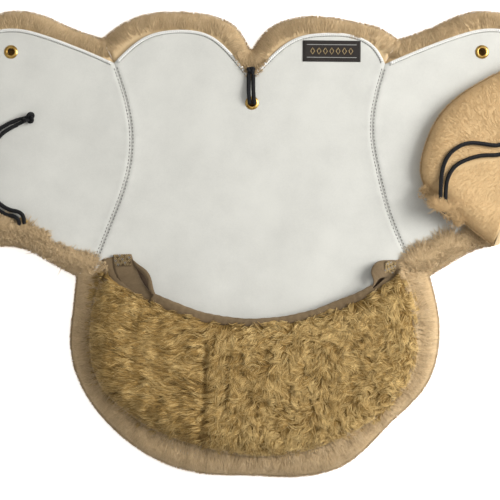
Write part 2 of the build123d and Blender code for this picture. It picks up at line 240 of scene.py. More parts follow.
def closed_pad(name, loop, step, top, bottom, rings=(), edges=(), holes=()):
    """A closed body over a loop, from two height functions."""
    pts, tris = filled(counter_clockwise(loop), step, rings, edges, holes)
    a, b, c = pts[tris.T]
    area = (b[:, 0] - a[:, 0]) * (c[:, 1] - a[:, 1]) - (b[:, 1] - a[:, 1]) * (c[:, 0] - a[:, 0])
    tris[area < 0] = tris[area < 0][:, ::-1]
    n = len(pts)
    verts = np.vstack([np.column_stack([pts, top(pts)]), np.column_stack([pts, bottom(pts)])])
    around = {e for t in tris.tolist() for e in ((t[0], t[1]), (t[1], t[2]), (t[2], t[0]))}
    walls = []
    for a, b in sorted(around):
        if (b, a) not in around:
            walls += [(a, a + n, b + n), (a, b + n, b)]
    return make_mesh(name, verts, np.vstack([tris, tris[:, ::-1] + n, np.array(walls)]))


def finish_piece(obj, material, body, nodes=(), blend=None):
    """Gives a piece its material and its body, or with a blend keeps it where it is, and hides the CAD nodes that it
    stands for.
    """
    obj.data.materials.clear()
    obj.data.materials.append(material)
    if blend:
        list(blend)
        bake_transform(obj)
    else:
        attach(obj, body)
    if nodes:
        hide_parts(*nodes)


# ---- outlines, in millimetres, as in the CAD model
def spline(points, step=3.0):
    """A natural cubic through a few points, sampled about step apart."""
    p = np.asarray(points, float)
    n = len(p)
    t = run_along(p)
    h = np.diff(t)
    a = np.zeros((n, n))
    r = np.zeros((n, 2))
    a[0, 0] = a[-1, -1] = 1
    for i in range(1, n - 1):
        a[i, i - 1], a[i, i], a[i, i + 1] = h[i - 1], 2 * (h[i - 1] + h[i]), h[i]
        r[i] = 6 * ((p[i + 1] - p[i]) / h[i] - (p[i] - p[i - 1]) / h[i - 1])
    m = np.linalg.solve(a, r)
    s = np.linspace(0, t[-1], max(3, int(t[-1] / step)))
    i = np.clip(np.searchsorted(t, s, side="right") - 1, 0, n - 2)
    u, v, w = (t[i + 1] - s)[:, None], (s - t[i])[:, None], h[i][:, None]
    first = m[i] * u**3 / (6 * w) + m[i + 1] * v**3 / (6 * w)
    return first + (p[i] / w - m[i] * w / 6) * u + (p[i + 1] / w - m[i + 1] * w / 6) * v


def shifted(chain, amount):
    """A chain moved to the left of its direction."""
    return chain + left_of(unit(np.gradient(chain, axis=0))) * amount


def mirror(points):
    return [(-x, y) for x, y in points]


def joined(*chains):
    """Chains end to end, with doubled points dropped."""
    whole = np.vstack(chains)
    keep = [0]
    for i in range(1, len(whole)):
        if np.linalg.norm(whole[i] - whole[keep[-1]]) > 0.4:
            keep.append(i)
    if np.linalg.norm(whole[keep[-1]] - whole[0]) < 0.4:
        keep.pop()
    return whole[keep]


PILE_NOTCH, LEFT_PILE_NOTCH, RIGHT_PILE_NOTCH = (0, 202), (-150, 214), (148, 213)
LEFT_PILE_CORNER, RIGHT_PILE_CORNER = (-177, -27), (181, -27)
PILE_WING = [(183, 226), (214, 239), (250, 240), (283, 223), (310, 197), (337, 158), (355, 120)]
PILE_WING += [(365, 80), (357, 38), (338, 10), (305, 4), (265, 2), (230, 0), (204, -13)]
PILE_SEAT = [LEFT_PILE_CORNER, (-180, -56), (-183, -96), (-172, -137), (-144, -176), (-103, -208)]
PILE_SEAT += [(-56, -225), (0, -228), (50, -229), (97, -216), (140, -176), (177, -137), (189, -104)]
PILE_SEAT += [(189, -60), RIGHT_PILE_CORNER]
PILE_LEFT_LOBE = [PILE_NOTCH, (-14, 225), (-38, 237), (-76, 241), (-112, 237), (-136, 225), LEFT_PILE_NOTCH]
PILE_RIGHT_LOBE = [PILE_NOTCH, (14, 221), (40, 234), (76, 236), (110, 230), (134, 223), RIGHT_PILE_NOTCH]
EDGE = 2.2
SIL_LEFT_LOBE = shifted(spline(PILE_LEFT_LOBE), EDGE)
SIL_RIGHT_LOBE = shifted(spline(PILE_RIGHT_LOBE), -EDGE)
SIL_LEFT_WING = shifted(spline([LEFT_PILE_NOTCH, *mirror(PILE_WING), LEFT_PILE_CORNER]), EDGE)
SIL_RIGHT_WING = shifted(spline([RIGHT_PILE_NOTCH, *PILE_WING, RIGHT_PILE_CORNER]), -EDGE)
SIL_SEAT = shifted(spline(PILE_SEAT), EDGE)

NOTCH, LEFT_JUNCTION, RIGHT_JUNCTION = (0, 173), (-137, 187), (134, 186)
LEFT_CORNER, RIGHT_CORNER = (-157, -15), (161, -15)
LEFT_LOBE = spline([NOTCH, (-18, 195), (-42, 215), (-76, 220), (-104, 214), (-123, 201), LEFT_JUNCTION])
RIGHT_LOBE = spline([NOTCH, (20, 194), (45, 212), (75, 217), (106, 214), (125, 202), RIGHT_JUNCTION])
WING_EDGE = [(150, 193), (174, 203), (204, 214), (232, 221), (262, 218), (290, 201), (318, 164)]
WING_EDGE += [(336, 120), (346, 80), (340, 45), (322, 22), (295, 22), (262, 20), (230, 15), (198, 2)]
LEFT_WING_EDGE = spline([LEFT_JUNCTION, *mirror(WING_EDGE), LEFT_CORNER])
RIGHT_WING_EDGE = spline([RIGHT_JUNCTION, *WING_EDGE, RIGHT_CORNER])
SEAT_EDGE = [LEFT_CORNER, (-163, -61), (-163, -101), (-150, -142), (-115, -179), (-70, -204)]
SEAT_EDGE += [(-23, -213), (30, -215), (85, -203), (128, -163), (165, -125), (170, -85), (167, -45)]
SEAT_EDGE = spline([*SEAT_EDGE, RIGHT_CORNER])
LEFT_SEAM = spline([LEFT_JUNCTION, (-120, 122), (-123, 78), (-139, 31), LEFT_CORNER])
RIGHT_SEAM = spline([RIGHT_JUNCTION, (121, 120), (127, 80), (140, 32), RIGHT_CORNER])
POCKET_HALF = [(147, -18), (158, -45), (164, -80), (162, -112), (148, -142), (118, -168), (75, -191)]
POCKET_SIDES = spline([*POCKET_HALF, (0, -204), *reversed(mirror(POCKET_HALF))])


def folded(points):
    """Points of the flat wing end, turned over the crease."""
    p = np.asarray(points, float)
    return p - 2 * ((p - CREASE_FOOT) @ CREASE_OUT)[:, None] * CREASE_OUT


def cut_at_crease(chain):
    """A wing's edge in front of the crease, the edge behind it, and the folded part between them."""
    past = (chain - CREASE_FOOT) @ CREASE_OUT > 0.3
    first, last = np.argmax(past), len(past) - np.argmax(past[::-1])
    return chain[:first], chain[last:], folded(chain[past])


SIL_RIGHT_FRONT, SIL_RIGHT_REAR, SIL_TIP = cut_at_crease(SIL_RIGHT_WING)
RIGHT_EDGE_FRONT, RIGHT_EDGE_REAR, TIP_EDGE = cut_at_crease(RIGHT_WING_EDGE)
LEFT_CUT = joined(SIL_LEFT_LOBE[-1:], LEFT_SEAM, SIL_LEFT_WING[-1:])
RIGHT_CUT = joined(SIL_RIGHT_LOBE[-1:], RIGHT_SEAM, SIL_RIGHT_WING[-1:])

GROMMETS = {"front": (1, 147), "left_tie": (-229, 26), "left_eyelet": (-240, 198), "right_eyelet": (231, 198)}
FLAT_REACH = 14.0


def ripple(points):
    """How far the lining stands above its flat height."""
    x, y = points[:, 0], points[:, 1]
    z = 0.55 * wave(x, y, 3, 120) + 0.28 * wave(x, y, 5, 46)
    for seam, seed in ((LEFT_SEAM, 7), (RIGHT_SEAM, 9)):
        d, _ = distance(points, seam)
        z += 0.45 * np.exp(-((d / 9) ** 2)) * wave(x * 0.25, y, seed, 13)
        z -= 0.55 * np.exp(-((d / 1.7) ** 2))
        z += 0.35 * np.exp(-(((d - 4.5) / 2.2) ** 2))
    for gx, gy in GROMMETS.values():
        z *= smooth((np.hypot(x - gx, y - gy) - 6) / FLAT_REACH)
    return z


# ---- materials
def linear(r, g, b):
    """A colour given in 255ths, as the linear values that a shader takes."""
    out = []
    for c in (r, g, b):
        c /= 255
        out.append(c / 12.92 if c <= 0.04045 else ((c + 0.055) / 1.055) ** 2.4)
    return (*out, 1.0)


class Look:
    """A material and the nodes that make it up."""

    def __init__(self, name):
        self.mat = bpy.data.materials.new(name)
        self.mat.use_nodes = True
        self.tree = self.mat.node_tree

    def plug(self, target, inputs):
        for key, value in inputs.items():
            if isinstance(value, bpy.types.NodeSocket):
                self.tree.links.new(value, target.inputs[key])
            else:
                target.inputs[key].default_value = value

    def node(self, kind, inputs=None, out=0, **settings):
        """Adds a node and gives one of its outputs."""
        made = self.tree.nodes.new("ShaderNode" + kind)
        for key, value in settings.items():
            setattr(made, key, value)
        self.plug(made, inputs or {})
        return made.outputs[out]

    def place(self):
        return self.node("TexCoord", out="Object")

    def noise(self, place, scale, detail, **more):
        return self.node("TexNoise", {"Vector": place, "Scale": scale, "Detail": detail, **more}, "Fac")

    def wave(self, place, direction, **inputs):
        return self.node("TexWave", {"Vector": place, **inputs}, "Fac", bands_direction=direction)

    def maths(self, operation, *values):
        return self.node("Math", dict(enumerate(values)), operation=operation)

    def bump(self, height, strength, distance, **more):
        return self.node("Bump", {"Height": height, "Strength": strength, "Distance": distance, **more}, "Normal")

    def ramp(self, factor, stops):
        """A colour ramp with those (place, colour) stops."""
        band = self.node("ValToRGB", {"Fac": factor}, "Color")
        elements = band.node.color_ramp.elements
        while len(elements) < len(stops):
            elements.new(0.5)
        for element, (place, colour) in zip(elements, stops):
            element.position = place
            element.color = linear(*colour)
        return band

    def made(self, inputs):
        self.plug(self.tree.nodes["Principled BSDF"], inputs)
        return self.mat


def wool_material(name, dark, mid, light, spread=1.0):
    """Wool: each strand has its own shade, dark at the root and light at the tip."""
    look = Look(name)
    place = look.place()
    shade, along = (look.node("Attribute", out="Fac", attribute_name=key) for key in ("shade", "along"))
    fine = look.noise(place, 900.0, 2.0)
    tone = look.maths("MULTIPLY", shade, 0.62 * spread)
    tone = look.maths("MULTIPLY_ADD", along, 0.30, tone)
    tone = look.maths("MULTIPLY_ADD", look.noise(place, 14.0, 3.0), 0.35, tone)
    tone = look.maths("MULTIPLY_ADD", fine, 0.16, tone)
    tone = look.maths("SUBTRACT", tone, 0.25)
    nap = look.bump(look.noise(place, 240.0, 5.0, Distortion=0.8), 0.45, 0.0012)
    colour = look.ramp(tone, [(0.05, dark), (0.42, mid), (0.85, light)])
    inputs = {"Base Color": colour, "Roughness": 0.72, "Specular IOR Level": 0.25, "Sheen Weight": 0.35}
    inputs |= {"Sheen Roughness": 0.5, "Sheen Tint": linear(*light)}
    inputs["Normal"] = look.bump(fine, 0.5, 0.0004, Normal=nap)
    return look.made(inputs)


def cloth_material(name, colour, darker, scale=1400.0, roughness=0.85, strength=0.35):
    """Plain woven cloth: crossed threads, slubs and faint broad unevenness; where the crossed threads lie low the
    colour is darker, as painted shade.
    """
    look = Look(name)
    place = look.place()
    warp, weft = (look.wave(place, way, Scale=scale / 2.0, Distortion=1.2, Detail=1.0) for way in "XY")
    both = look.maths("MULTIPLY", warp, weft)
    speck = look.noise(place, 650.0, 2.0)
    mixed = look.maths("MULTIPLY_ADD", both, 0.18, look.noise(place, 22.0, 6.0, Roughness=0.6))
    value = look.maths("MULTIPLY_ADD", speck, 0.30, mixed)
    inputs = {"Base Color": look.ramp(value, [(0.35, darker), (0.85, colour)]), "Roughness": roughness}
    inputs |= {"Specular IOR Level": 0.2, "Sheen Weight": 0.15}
    inputs["Normal"] = look.bump(look.maths("MULTIPLY_ADD", speck, 0.5, both), strength, 0.0003)
    return look.made(inputs)


def thread_material(name, colour, darker):
    """Twisted sewing thread, darker in the grooves of its twist: painted shade."""
    look = Look(name)
    twist = look.wave(look.place(), "DIAGONAL", Scale=900.0, Distortion=2.0)
    tint = look.ramp(twist, [(0.1, darker), (0.7, colour)])
    return look.made({"Base Color": tint, "Roughness": 0.55, "Normal": look.bump(twist, 0.4, 0.0002)})


def brass_material():
    look = Look("brass_eyelet")
    wear = look.noise(look.place(), 260.0, 4.0)
    tint = look.ramp(wear, [(0.3, (150, 112, 52)), (0.7, (226, 190, 112))])
    rough = look.node("MapRange", {"Value": wear, "To Min": 0.2, "To Max": 0.42})
    return look.made({"Base Color": tint, "Roughness": rough, "Metallic": 1.0})


def cord_material():
    """Black braided cover: two sets of crossing yarns from the tube's own map, darker where the braid lies low, as
    painted shade between the yarns.
    """
    look = Look("cord_braid")
    uv = look.node("UVMap", out="UV", uv_map="braid")
    x, y = (look.node("SeparateXYZ", {0: uv}, axis) for axis in "XY")
    yarns = [look.maths("MULTIPLY", look.maths(way, x, y), 6.2832) for way in ("ADD", "SUBTRACT")]
    weave = look.maths("MULTIPLY", *(look.maths("SINE", yarn) for yarn in yarns))
    height = look.node("MapRange", {"Value": weave, "From Min": -1.0, "To Min": 0.0})
    inputs = {"Base Color": look.ramp(height, [(0.1, (4, 4, 5)), (0.9, (17, 17, 19))]), "Roughness": 0.6}
    inputs |= {"Specular IOR Level": 0.25, "Sheen Weight": 0.04, "Normal": look.bump(height, 0.9, 0.0005)}
    return look.made(inputs)


WOOL_RIM = wool_material("wool_rim", (142, 120, 88), (198, 172, 132), (228, 206, 170), 0.7)
WOOL_TIP = wool_material("wool_tip", (174, 145, 103), (208, 177, 131), (228, 202, 160), 0.4)
WOOL_POCKET = wool_material("wool_pocket", (76, 54, 21), (160, 126, 66), (226, 198, 138), 1.1)
LINING = cloth_material("lining_cloth", (209, 208, 200), (195, 194, 187))
ELASTIC = cloth_material("elastic_knit", (128, 108, 80), (84, 68, 46), 900.0, 0.75, 0.8)
# A darker copy of the elastic, as painted shade: the elastic's inner faces inside its loops and the shadows of the
# bar tacks.
ELASTIC_PAINTED_SHADE = cloth_material("elastic_painted_shade", (84, 66, 48), (52, 40, 28), 900.0, 0.8, 0.8)
THREAD_GREY = thread_material("thread_grey", (192, 191, 186), (150, 149, 145))
THREAD_DARK = thread_material("thread_dark", (74, 70, 66), (42, 40, 38))
THREAD_WHITE = thread_material("thread_white", (246, 245, 239), (222, 221, 214))
THREAD_GOLD = thread_material("thread_gold", (214, 188, 132), (150, 118, 68))
LABEL_CLOTH = cloth_material("label_satin", (40, 33, 28), (22, 18, 16), 1800.0, 0.45, 0.5)
BRASS = brass_material()
CORD = cord_material()


# ---- tubes and strands
def bundle(name, lines, radii, sides=3, shade=None):
    """Many thin tapered tubes as one mesh: lines is (n, k, 3) in millimetres, radii is (n, k)."""
    n, k, _ = lines.shape
    t = unit(np.gradient(lines, axis=1))
    s = unit(np.cross(t, (0.13, 0.07, 1.0)))
    b = np.cross(s, t)
    turn = angles(sides)[:, None] + math.pi / 2
    ring = s[:, :, None] * np.cos(turn) + b[:, :, None] * np.sin(turn)
    verts = (lines[:, :, None] + ring * radii[..., None, None]).reshape(-1, 3)
    quads = np.arange(n)[:, None, None] * (k * sides) + net(k, sides)
    obj = make_mesh(name, verts, quads.reshape(-1, 4))
    along = np.broadcast_to(np.linspace(0, 1, k)[None, :, None], (n, k, sides)).ravel()
    attribute(obj, "along", along)
    if shade is not None:
        attribute(obj, "shade", np.repeat(shade, k * sides))
    return obj


def merged(name, objects):
    """Several meshes made into one."""
    target = objects[0]
    chosen = {"selected_objects": objects, "selected_editable_objects": objects}
    with bpy.context.temp_override(active_object=target, object=target, **chosen):
        bpy.ops.object.join()
    target.name = target.data.name = name
    return target


# ---- wool panels
RINGS = (1.2, 3.0, 5.5, 8.5, 12.0, 16.0, 20.0)
HOLE_R = 3.7
UNDER_LINING = 20.0  # the wool's height where the lining covers it
TIP_CREST, TIP_REACH, TIP_LOW, TIP_FOOT = 44.2, 20.0, 32.0, 23.9


def rounded(d, reach):
    """A quarter round that rises from 0 to 1 over a reach."""
    return np.sqrt(1 - (1 - np.clip(d / reach, 0, 1)) ** 2)


def roll(d, crest=22.6, reach=15.0, low=9.0):
    """Height of the wool's upper side at a distance in from its edge."""
    z = low + (crest - low) * rounded(d, reach)
    return z - (crest - UNDER_LINING) * smooth((d - reach) / 7)


def under(d, low=9.0, reach=11.0, floor=0.4):
    """Height of the wool's lower side at a distance in from its edge."""
    return low - (low - floor) * rounded(d, reach)


def lumps(points, amount=0.9):
    """How uneven the wool's surface is."""
    x, y = points[:, 0], points[:, 1]
    return amount * (0.6 * wave(x, y, 21, 26) + 0.4 * wave(x, y, 22, 11))


def plain_wool(obj, shade, along):
    """The tone of a wool body that strands grow from."""
    for key, value in (("shade", shade), ("along", along)):
        attribute(obj, key, np.full(len(obj.data.vertices), value))


def wool_pad(name, loop, edges, holes):
    """A flat panel of wool with a rounded outer edge."""

    def top(p):
        d, _ = distance(p, edges)
        return roll(d) + lumps(p) * smooth(d / 4) * (1 - smooth((d - 13) / 6))

    def bottom(p):
        return under(distance(p, edges)[0])

    obj = closed_pad(name, loop, 6.0, top, bottom, RINGS, edges, holes)
    plain_wool(obj, 0.45, 0.7)
    return obj


def fold_blend(side):
    """The two bodies of a wing's fold and the ends of the band beside its fold line."""
    body = "left_wing" if side < 0 else "right_wing"
    x, half = side * FOLD_X * MM, side * FOLD_BAND * MM
    return ("seat", body, (x - half, 0.1, 0.02), (x + half, 0.1, 0.02))


FRONT_SIL = joined(SIL_RIGHT_LOBE[::-1], SIL_LEFT_LOBE)
SEAT_SILS = [FRONT_SIL, SIL_SEAT]
LEFT_SILS = [SIL_LEFT_WING]
RIGHT_SILS = [SIL_RIGHT_REAR[::-1], SIL_RIGHT_FRONT[::-1]]
SEAT_LOOP = joined(FRONT_SIL, LEFT_CUT[1:-1], SIL_SEAT, RIGHT_CUT[::-1][1:-1])
LEFT_LOOP = joined(SIL_LEFT_WING, LEFT_CUT[::-1][1:-1])
CREASE = np.array([SIL_RIGHT_FRONT[-1], SIL_RIGHT_REAR[0]])
CREASE = CREASE[0] + (CREASE[1] - CREASE[0]) * np.linspace(0, 1, 60)[:, None]
RIGHT_LOOP = counter_clockwise(joined(SIL_RIGHT_FRONT, CREASE[1:-1], SIL_RIGHT_REAR, RIGHT_CUT[::-1][1:-1]))
TIP_LOOP = joined(SIL_TIP, CREASE[::-1] - CREASE_OUT * 0.3)


def holes_for(*names):
    return [(*GROMMETS[name], HOLE_R) for name in names]


for name, loop, sils, grommets, nodes, blend in (
    ("seat_wool", SEAT_LOOP, SEAT_SILS, ["front"], ["seat_sheepskin"], None),
    (
        "left_wing_wool", LEFT_LOOP, LEFT_SILS, ["left_tie", "left_eyelet"],
        ["left_wing_sheepskin", "left_wing_root_sheepskin"], fold_blend(-1),
    ),
    (
        "right_wing_wool", RIGHT_LOOP, RIGHT_SILS, ["right_eyelet"],
        ["right_wing_sheepskin", "right_wing_root_sheepskin"], fold_blend(1),
    ),
):  # fmt: skip
    wool = wool_pad(name, loop, sils, holes_for(*grommets))
    finish_piece(wool, WOOL_RIM, None if blend else "seat", nodes, blend)


def tip_height(points):
    """The folded wing end's wool: full in the middle, rounded at its free edge."""
    d, _ = distance(points, [SIL_TIP])
    full = (TIP_CREST - UNDER_LINING) * smooth((d - TIP_REACH) / 7)
    return roll(d, TIP_CREST, TIP_REACH, TIP_LOW) + full + lumps(points, 0.25) * smooth(d / 5)


def tip_under(points):
    return under(distance(points, [SIL_TIP])[0], TIP_LOW, 12.0, TIP_FOOT)


tip_wool = closed_pad("right_tip_wool", TIP_LOOP, 5.0, tip_height, tip_under, RINGS, [SIL_TIP])
plain_wool(tip_wool, 0.5, 0.75)
finish_piece(tip_wool, WOOL_TIP, "right_wing_tip", ["right_tip_sheepskin"])

# The wool that goes round the crease, from the wing up to its folded end.
FOLD_OUT, FOLD_MIDDLE, FOLD_HALF = 11, 22.4, 21.4
u = np.linspace(0, 1, 70)[:, None]
line = CREASE[0] + (CREASE[-1] - CREASE[0]) * u
taper = np.sqrt(np.clip(1 - (2 * u[:, 0] - 1) ** 12, 0.02, 1))
rows = []
for angle in np.linspace(-math.pi / 2, math.pi / 2, 19):
    out = FOLD_OUT * math.cos(angle) * taper * (1 + 0.06 * wave(line[:, 0], line[:, 1] + angle * 20, 31, 25))
    z = FOLD_MIDDLE + (FOLD_HALF * math.sin(angle)) * (0.6 + 0.4 * taper)
    rows.append(np.column_stack([line + CREASE_OUT * out[:, None], z]))
quads = net(len(rows), len(u), round_across=False)[:, ::-1]
fold_wool = make_mesh("right_fold_wool", np.vstack(rows), np.roll(quads, 1, axis=1))
plain_wool(fold_wool, 0.5, 0.7)
middle = CREASE.mean(0) * MM
finish_piece(
    fold_wool, WOOL_RIM, None, (),
    ("right_wing", "right_wing_tip", (*middle, 0.010), (*middle, 0.035)),
)  # fmt: skip


# ---- lining
SEAM_RINGS = (0.8, 1.6, 2.6, 4.2, 6.5)
CLOTH = 1.1


def lining_sheet(name, loop, seams, body, nodes, blend=None, level=TOP, holes=(), wavy=True):
    """A panel of lining cloth."""
    loop = counter_clockwise(loop)

    def top(p):
        return level + (ripple(p) if wavy else 0.3 * wave(p[:, 0], p[:, 1], 4, 60))

    def bottom(p):
        return top(p) - CLOTH

    obj = closed_pad(name, loop, 5.0, top, bottom, SEAM_RINGS if seams else (), seams, holes)
    finish_piece(obj, LINING, body, nodes, blend)
    area = signed_area(loop) * MM**2


lining_sheet(
    "seat_lining_cloth", joined(LEFT_LOBE, LEFT_SEAM, SEAT_EDGE, RIGHT_SEAM[::-1], RIGHT_LOBE[::-1]),
    [LEFT_SEAM, RIGHT_SEAM[::-1]], "seat", ["seat_lining"], holes=holes_for("front"),
)  # fmt: skip
lining_sheet(
    "left_wing_lining_cloth", joined(LEFT_WING_EDGE, LEFT_SEAM[::-1]), [LEFT_SEAM[::-1]], None,
    ["left_wing_lining", "left_wing_root_lining"], fold_blend(-1), holes=holes_for("left_tie", "left_eyelet"),
)  # fmt: skip
lining_sheet(
    "right_wing_lining_cloth", joined(RIGHT_EDGE_FRONT, RIGHT_EDGE_REAR, RIGHT_SEAM[::-1]), [RIGHT_SEAM], None,
    ["right_wing_lining", "right_wing_root_lining"], fold_blend(1), holes=holes_for("right_eyelet"),
)  # fmt: skip
lining_sheet(
    "right_tip_lining_cloth", TIP_EDGE, [], "right_wing_tip", ["right_tip_lining"],
    level=23.75, wavy=False,
)  # fmt: skip


# ---- wool strands
def scatter(loop, spacing, near=None, reach=None):
    """Random points in a loop, one for about each spacing squared, optionally only near some chains."""
    lo, hi = loop.min(0), loop.max(0)
    gx, gy = np.meshgrid(np.arange(lo[0], hi[0], spacing), np.arange(lo[1], hi[1], spacing))
    p = np.stack([gx.ravel(), gy.ravel()], 1) + RNG.uniform(-0.6, 0.6, (gx.size, 2)) * spacing
    p = p[inside(p, loop)]
    if near is not None:
        p = p[distance(p, near)[0] < reach]
    return p


def rays(p, way, far, t):
    """Flat lines from points, each with its own way and length."""
    return p[:, None] + way[:, None] * (far[:, None] * t)[..., None]


def widths(low, high, n, profile):
    return RNG.uniform(low, high, n)[:, None] * np.array(profile)


def risen(t, pace):
    """A rise to full height that then stays there."""
    return np.sin(np.minimum(t * pace, 1) * math.pi / 2)


def shades(p, seed):
    return np.clip(0.5 + 0.16 * wave(p[:, 0], p[:, 1], seed, 16) + RNG.normal(0, 0.12, len(p)), 0, 1)


def rim_strands(
    name, loop, sils, height, body, blend=None, spacing=1.2, reach=22, length=(7, 15), mat=WOOL_RIM, over=1.2,
    rises=(0.5, 1.4), sway=1.0,
):  # fmt: skip
    """Wool combed outwards over the rounded edge of a panel."""
    p = scatter(loop, spacing, sils, reach)
    d, u = distance(p, sils)
    n = len(p)
    lean = sway * (0.35 * wave(p[:, 0], p[:, 1], 33, 22) + RNG.normal(0, 0.17, n))
    way = swung(u, lean)
    far = np.minimum(RNG.uniform(*length, n), d + over + RNG.uniform(0, 1.0, n))
    back = (RNG.random(n) < 0.12) & (p[:, 1] < 60)
    way[back & (d > reach * 0.6)] *= -1
    t = np.linspace(0, 1, 5)
    bend = RNG.normal(0, 0.5, n)
    flat = rays(p, way, far, t)
    flat += left_of(way)[:, None] * (bend[:, None] * np.sin(t * math.pi * 1.3)[None])[..., None]
    z = height(flat.reshape(-1, 2)).reshape(n, 5)
    past = np.einsum("ijk,ik->ij", flat - p[:, None], u) - d[:, None]
    z -= np.clip(past, 0, None) * 1.2
    rise = RNG.uniform(*rises, n)
    z += -0.8 + (rise[:, None] + 0.6) * risen(t, 1.25)
    width = widths(0.22, 0.42, n, [0.9, 1.0, 0.9, 0.6, 0.12])
    obj = bundle(name, np.dstack([flat, z]), width, 3, shades(p, 35))
    finish_piece(obj, mat, body, (), blend)


def edge_height(sils):
    return lambda p: roll(distance(p, sils)[0]) + lumps(p) * 0.5


rim_strands("seat_rim_strands", SEAT_LOOP, SEAT_SILS, edge_height(SEAT_SILS), "seat")
rim_strands("left_rim_strands", LEFT_LOOP, LEFT_SILS, edge_height(LEFT_SILS), None, fold_blend(-1))
rim_strands("right_rim_strands", RIGHT_LOOP, RIGHT_SILS, edge_height(RIGHT_SILS), None, fold_blend(1))
rim_strands(
    "right_tip_strands", TIP_LOOP, [SIL_TIP], tip_height, "right_wing_tip", None, 1.05, 150, (5, 9), WOOL_TIP,
    0.8, (0.1, 0.4), 0.45,
)  # fmt: skip


def fuzz(name, chain, count, length, body, blend, spread, level=TOP, mat=WOOL_RIM):
    """Stray wool that lies over the lining beside a panel's edge, with the lining on the chain's left."""
    i = RNG.uniform(0, len(chain) - 1.001, count)
    base = i.astype(int)
    p = chain[base] + (chain[base + 1] - chain[base]) * (i - base)[:, None]
    u = left_of(unit(chain[base + 1] - chain[base]))
    p = p + u * RNG.normal(-spread / 3, spread / 2, count)[:, None]
    lean = RNG.normal(0, 0.75, count) + 0.5 * wave(p[:, 0], p[:, 1], 37, 20)
    way = swung(u, lean)
    far = RNG.uniform(*length, count) * (0.65 + 0.5 * np.clip(wave(p[:, 0], p[:, 1], 38, 30), -0.5, 1))
    t = np.linspace(0, 1, 6)
    bend = RNG.normal(0, 1.6, count)[:, None] * np.sin(t * RNG.uniform(2, 5))[None]
    flat = rays(p, way, far, t) + left_of(way)[:, None] * bend[..., None]
    z = level + 0.2 + RNG.uniform(0.6, 3.4, count)[:, None] * np.sin(0.35 + t * 2.4)[None]
    width = widths(0.2, 0.45, count, [1.0, 1.0, 0.9, 0.75, 0.55, 0.12])
    obj = bundle(name, np.dstack([flat, z]), width, 3, np.clip(RNG.normal(0.6, 0.2, count), 0, 1))
    finish_piece(obj, mat, body, (), blend)


rear = LEFT_WING_EDGE[(LEFT_WING_EDGE[:, 1] < 30) & (LEFT_WING_EDGE[:, 0] < -150)]
fuzz("left_wing_fuzz", rear, 7000, (7, 17), None, fold_blend(-1), 6.0)
rear = RIGHT_EDGE_REAR[::-1]
fuzz("right_wing_fuzz", rear[rear[:, 0] > 156], 5200, (9, 21), None, fold_blend(1), 6.0)
rear = spline([(-266, 25), (-240, 23), (-222, 19), (-204, 13)])
fuzz("left_tie_fuzz", rear, 3000, (8, 15), "left_wing", None, 5.0, TOP + 1.6)
near = joined(RIGHT_LOBE[::-1], LEFT_LOBE)
fuzz("front_lobe_fuzz", near[np.abs(near[:, 0]) < 18], 260, (2, 6), "seat", None, 2.0)


# ---- cantle pocket
SIDES = shifted(POCKET_SIDES, 3.0)[::-1]
SIDES = np.vstack([SIDES[:-1:2], SIDES[-1:]])
SIDES[:, 0] += 6.0 * smooth((-90 - SIDES[:, 0]) / 50)
SIDES[:, 1] += 6.0 * np.exp(-(((SIDES[:, 0] + 70) / 60) ** 2)) * smooth((-SIDES[:, 1] - 120) / 40)
angle = np.linspace(-math.pi / 2 - 0.668, -math.pi / 2 + 0.664, 48)
MOUTH_LINE = MOUTH + MOUTH_R * towards(angle)
MOUTH_LINE = MOUTH_LINE[np.abs(MOUTH_LINE[:, 0]) < 149]
POCKET_LOOP = joined(SIDES, MOUTH_LINE[::-1])


def pocket_height(p):
    """Height of the pocket's wool: full in the middle, with a shallow dip down one side."""
    d, _ = distance(p, [SIDES])
    m, _ = distance(p, [MOUTH_LINE])
    side, front = 22.5 + 24.0 * rounded(d, 30), 33.0 + 13.0 * rounded(m, 26)
    dip = np.exp(-(((p[:, 0] + 41 - 0.04 * p[:, 1]) / 3.5) ** 2)) * smooth((-p[:, 1] - 88) / 14)
    return np.minimum(side, front) + lumps(p, 1.7) * smooth(d / 12) * smooth(m / 10) - 3.5 * dip


POCKET_FOOT, POCKET_ROOF, POCKET_WALL = 22.6, 31.6, 8.5


def pocket_under(p):
    return np.where(distance(p, [SIDES])[0] < POCKET_WALL, POCKET_FOOT, POCKET_ROOF)


pocket_wool = closed_pad(
    "pocket_wool", POCKET_LOOP, 5.0, lambda p: pocket_height(p) - 1.2, pocket_under, (1.5, 4, 8, 9, 14), [SIDES],
)  # fmt: skip
plain_wool(pocket_wool, 0.2, 0.3)
finish_piece(pocket_wool, WOOL_POCKET, "seat", ["pocket_sheepskin"])


def pocket_flow(x, y):
    """Which way the locks of the pocket's wool lie: combed sideways on the left, swirling on the right."""
    right = smooth((x + 46) / 10)
    combed = math.pi * 0.97 + 0.3 * wave(x, y, 51, 60) + 0.14 * wave(x, y, 52, 24)
    swirl = 3.9 + 1.7 * wave(x, y, 53, 66) * smooth((x + 30) / 60) + 0.55 * wave(x, y, 54, 26)
    return combed * (1 - right) + swirl * right


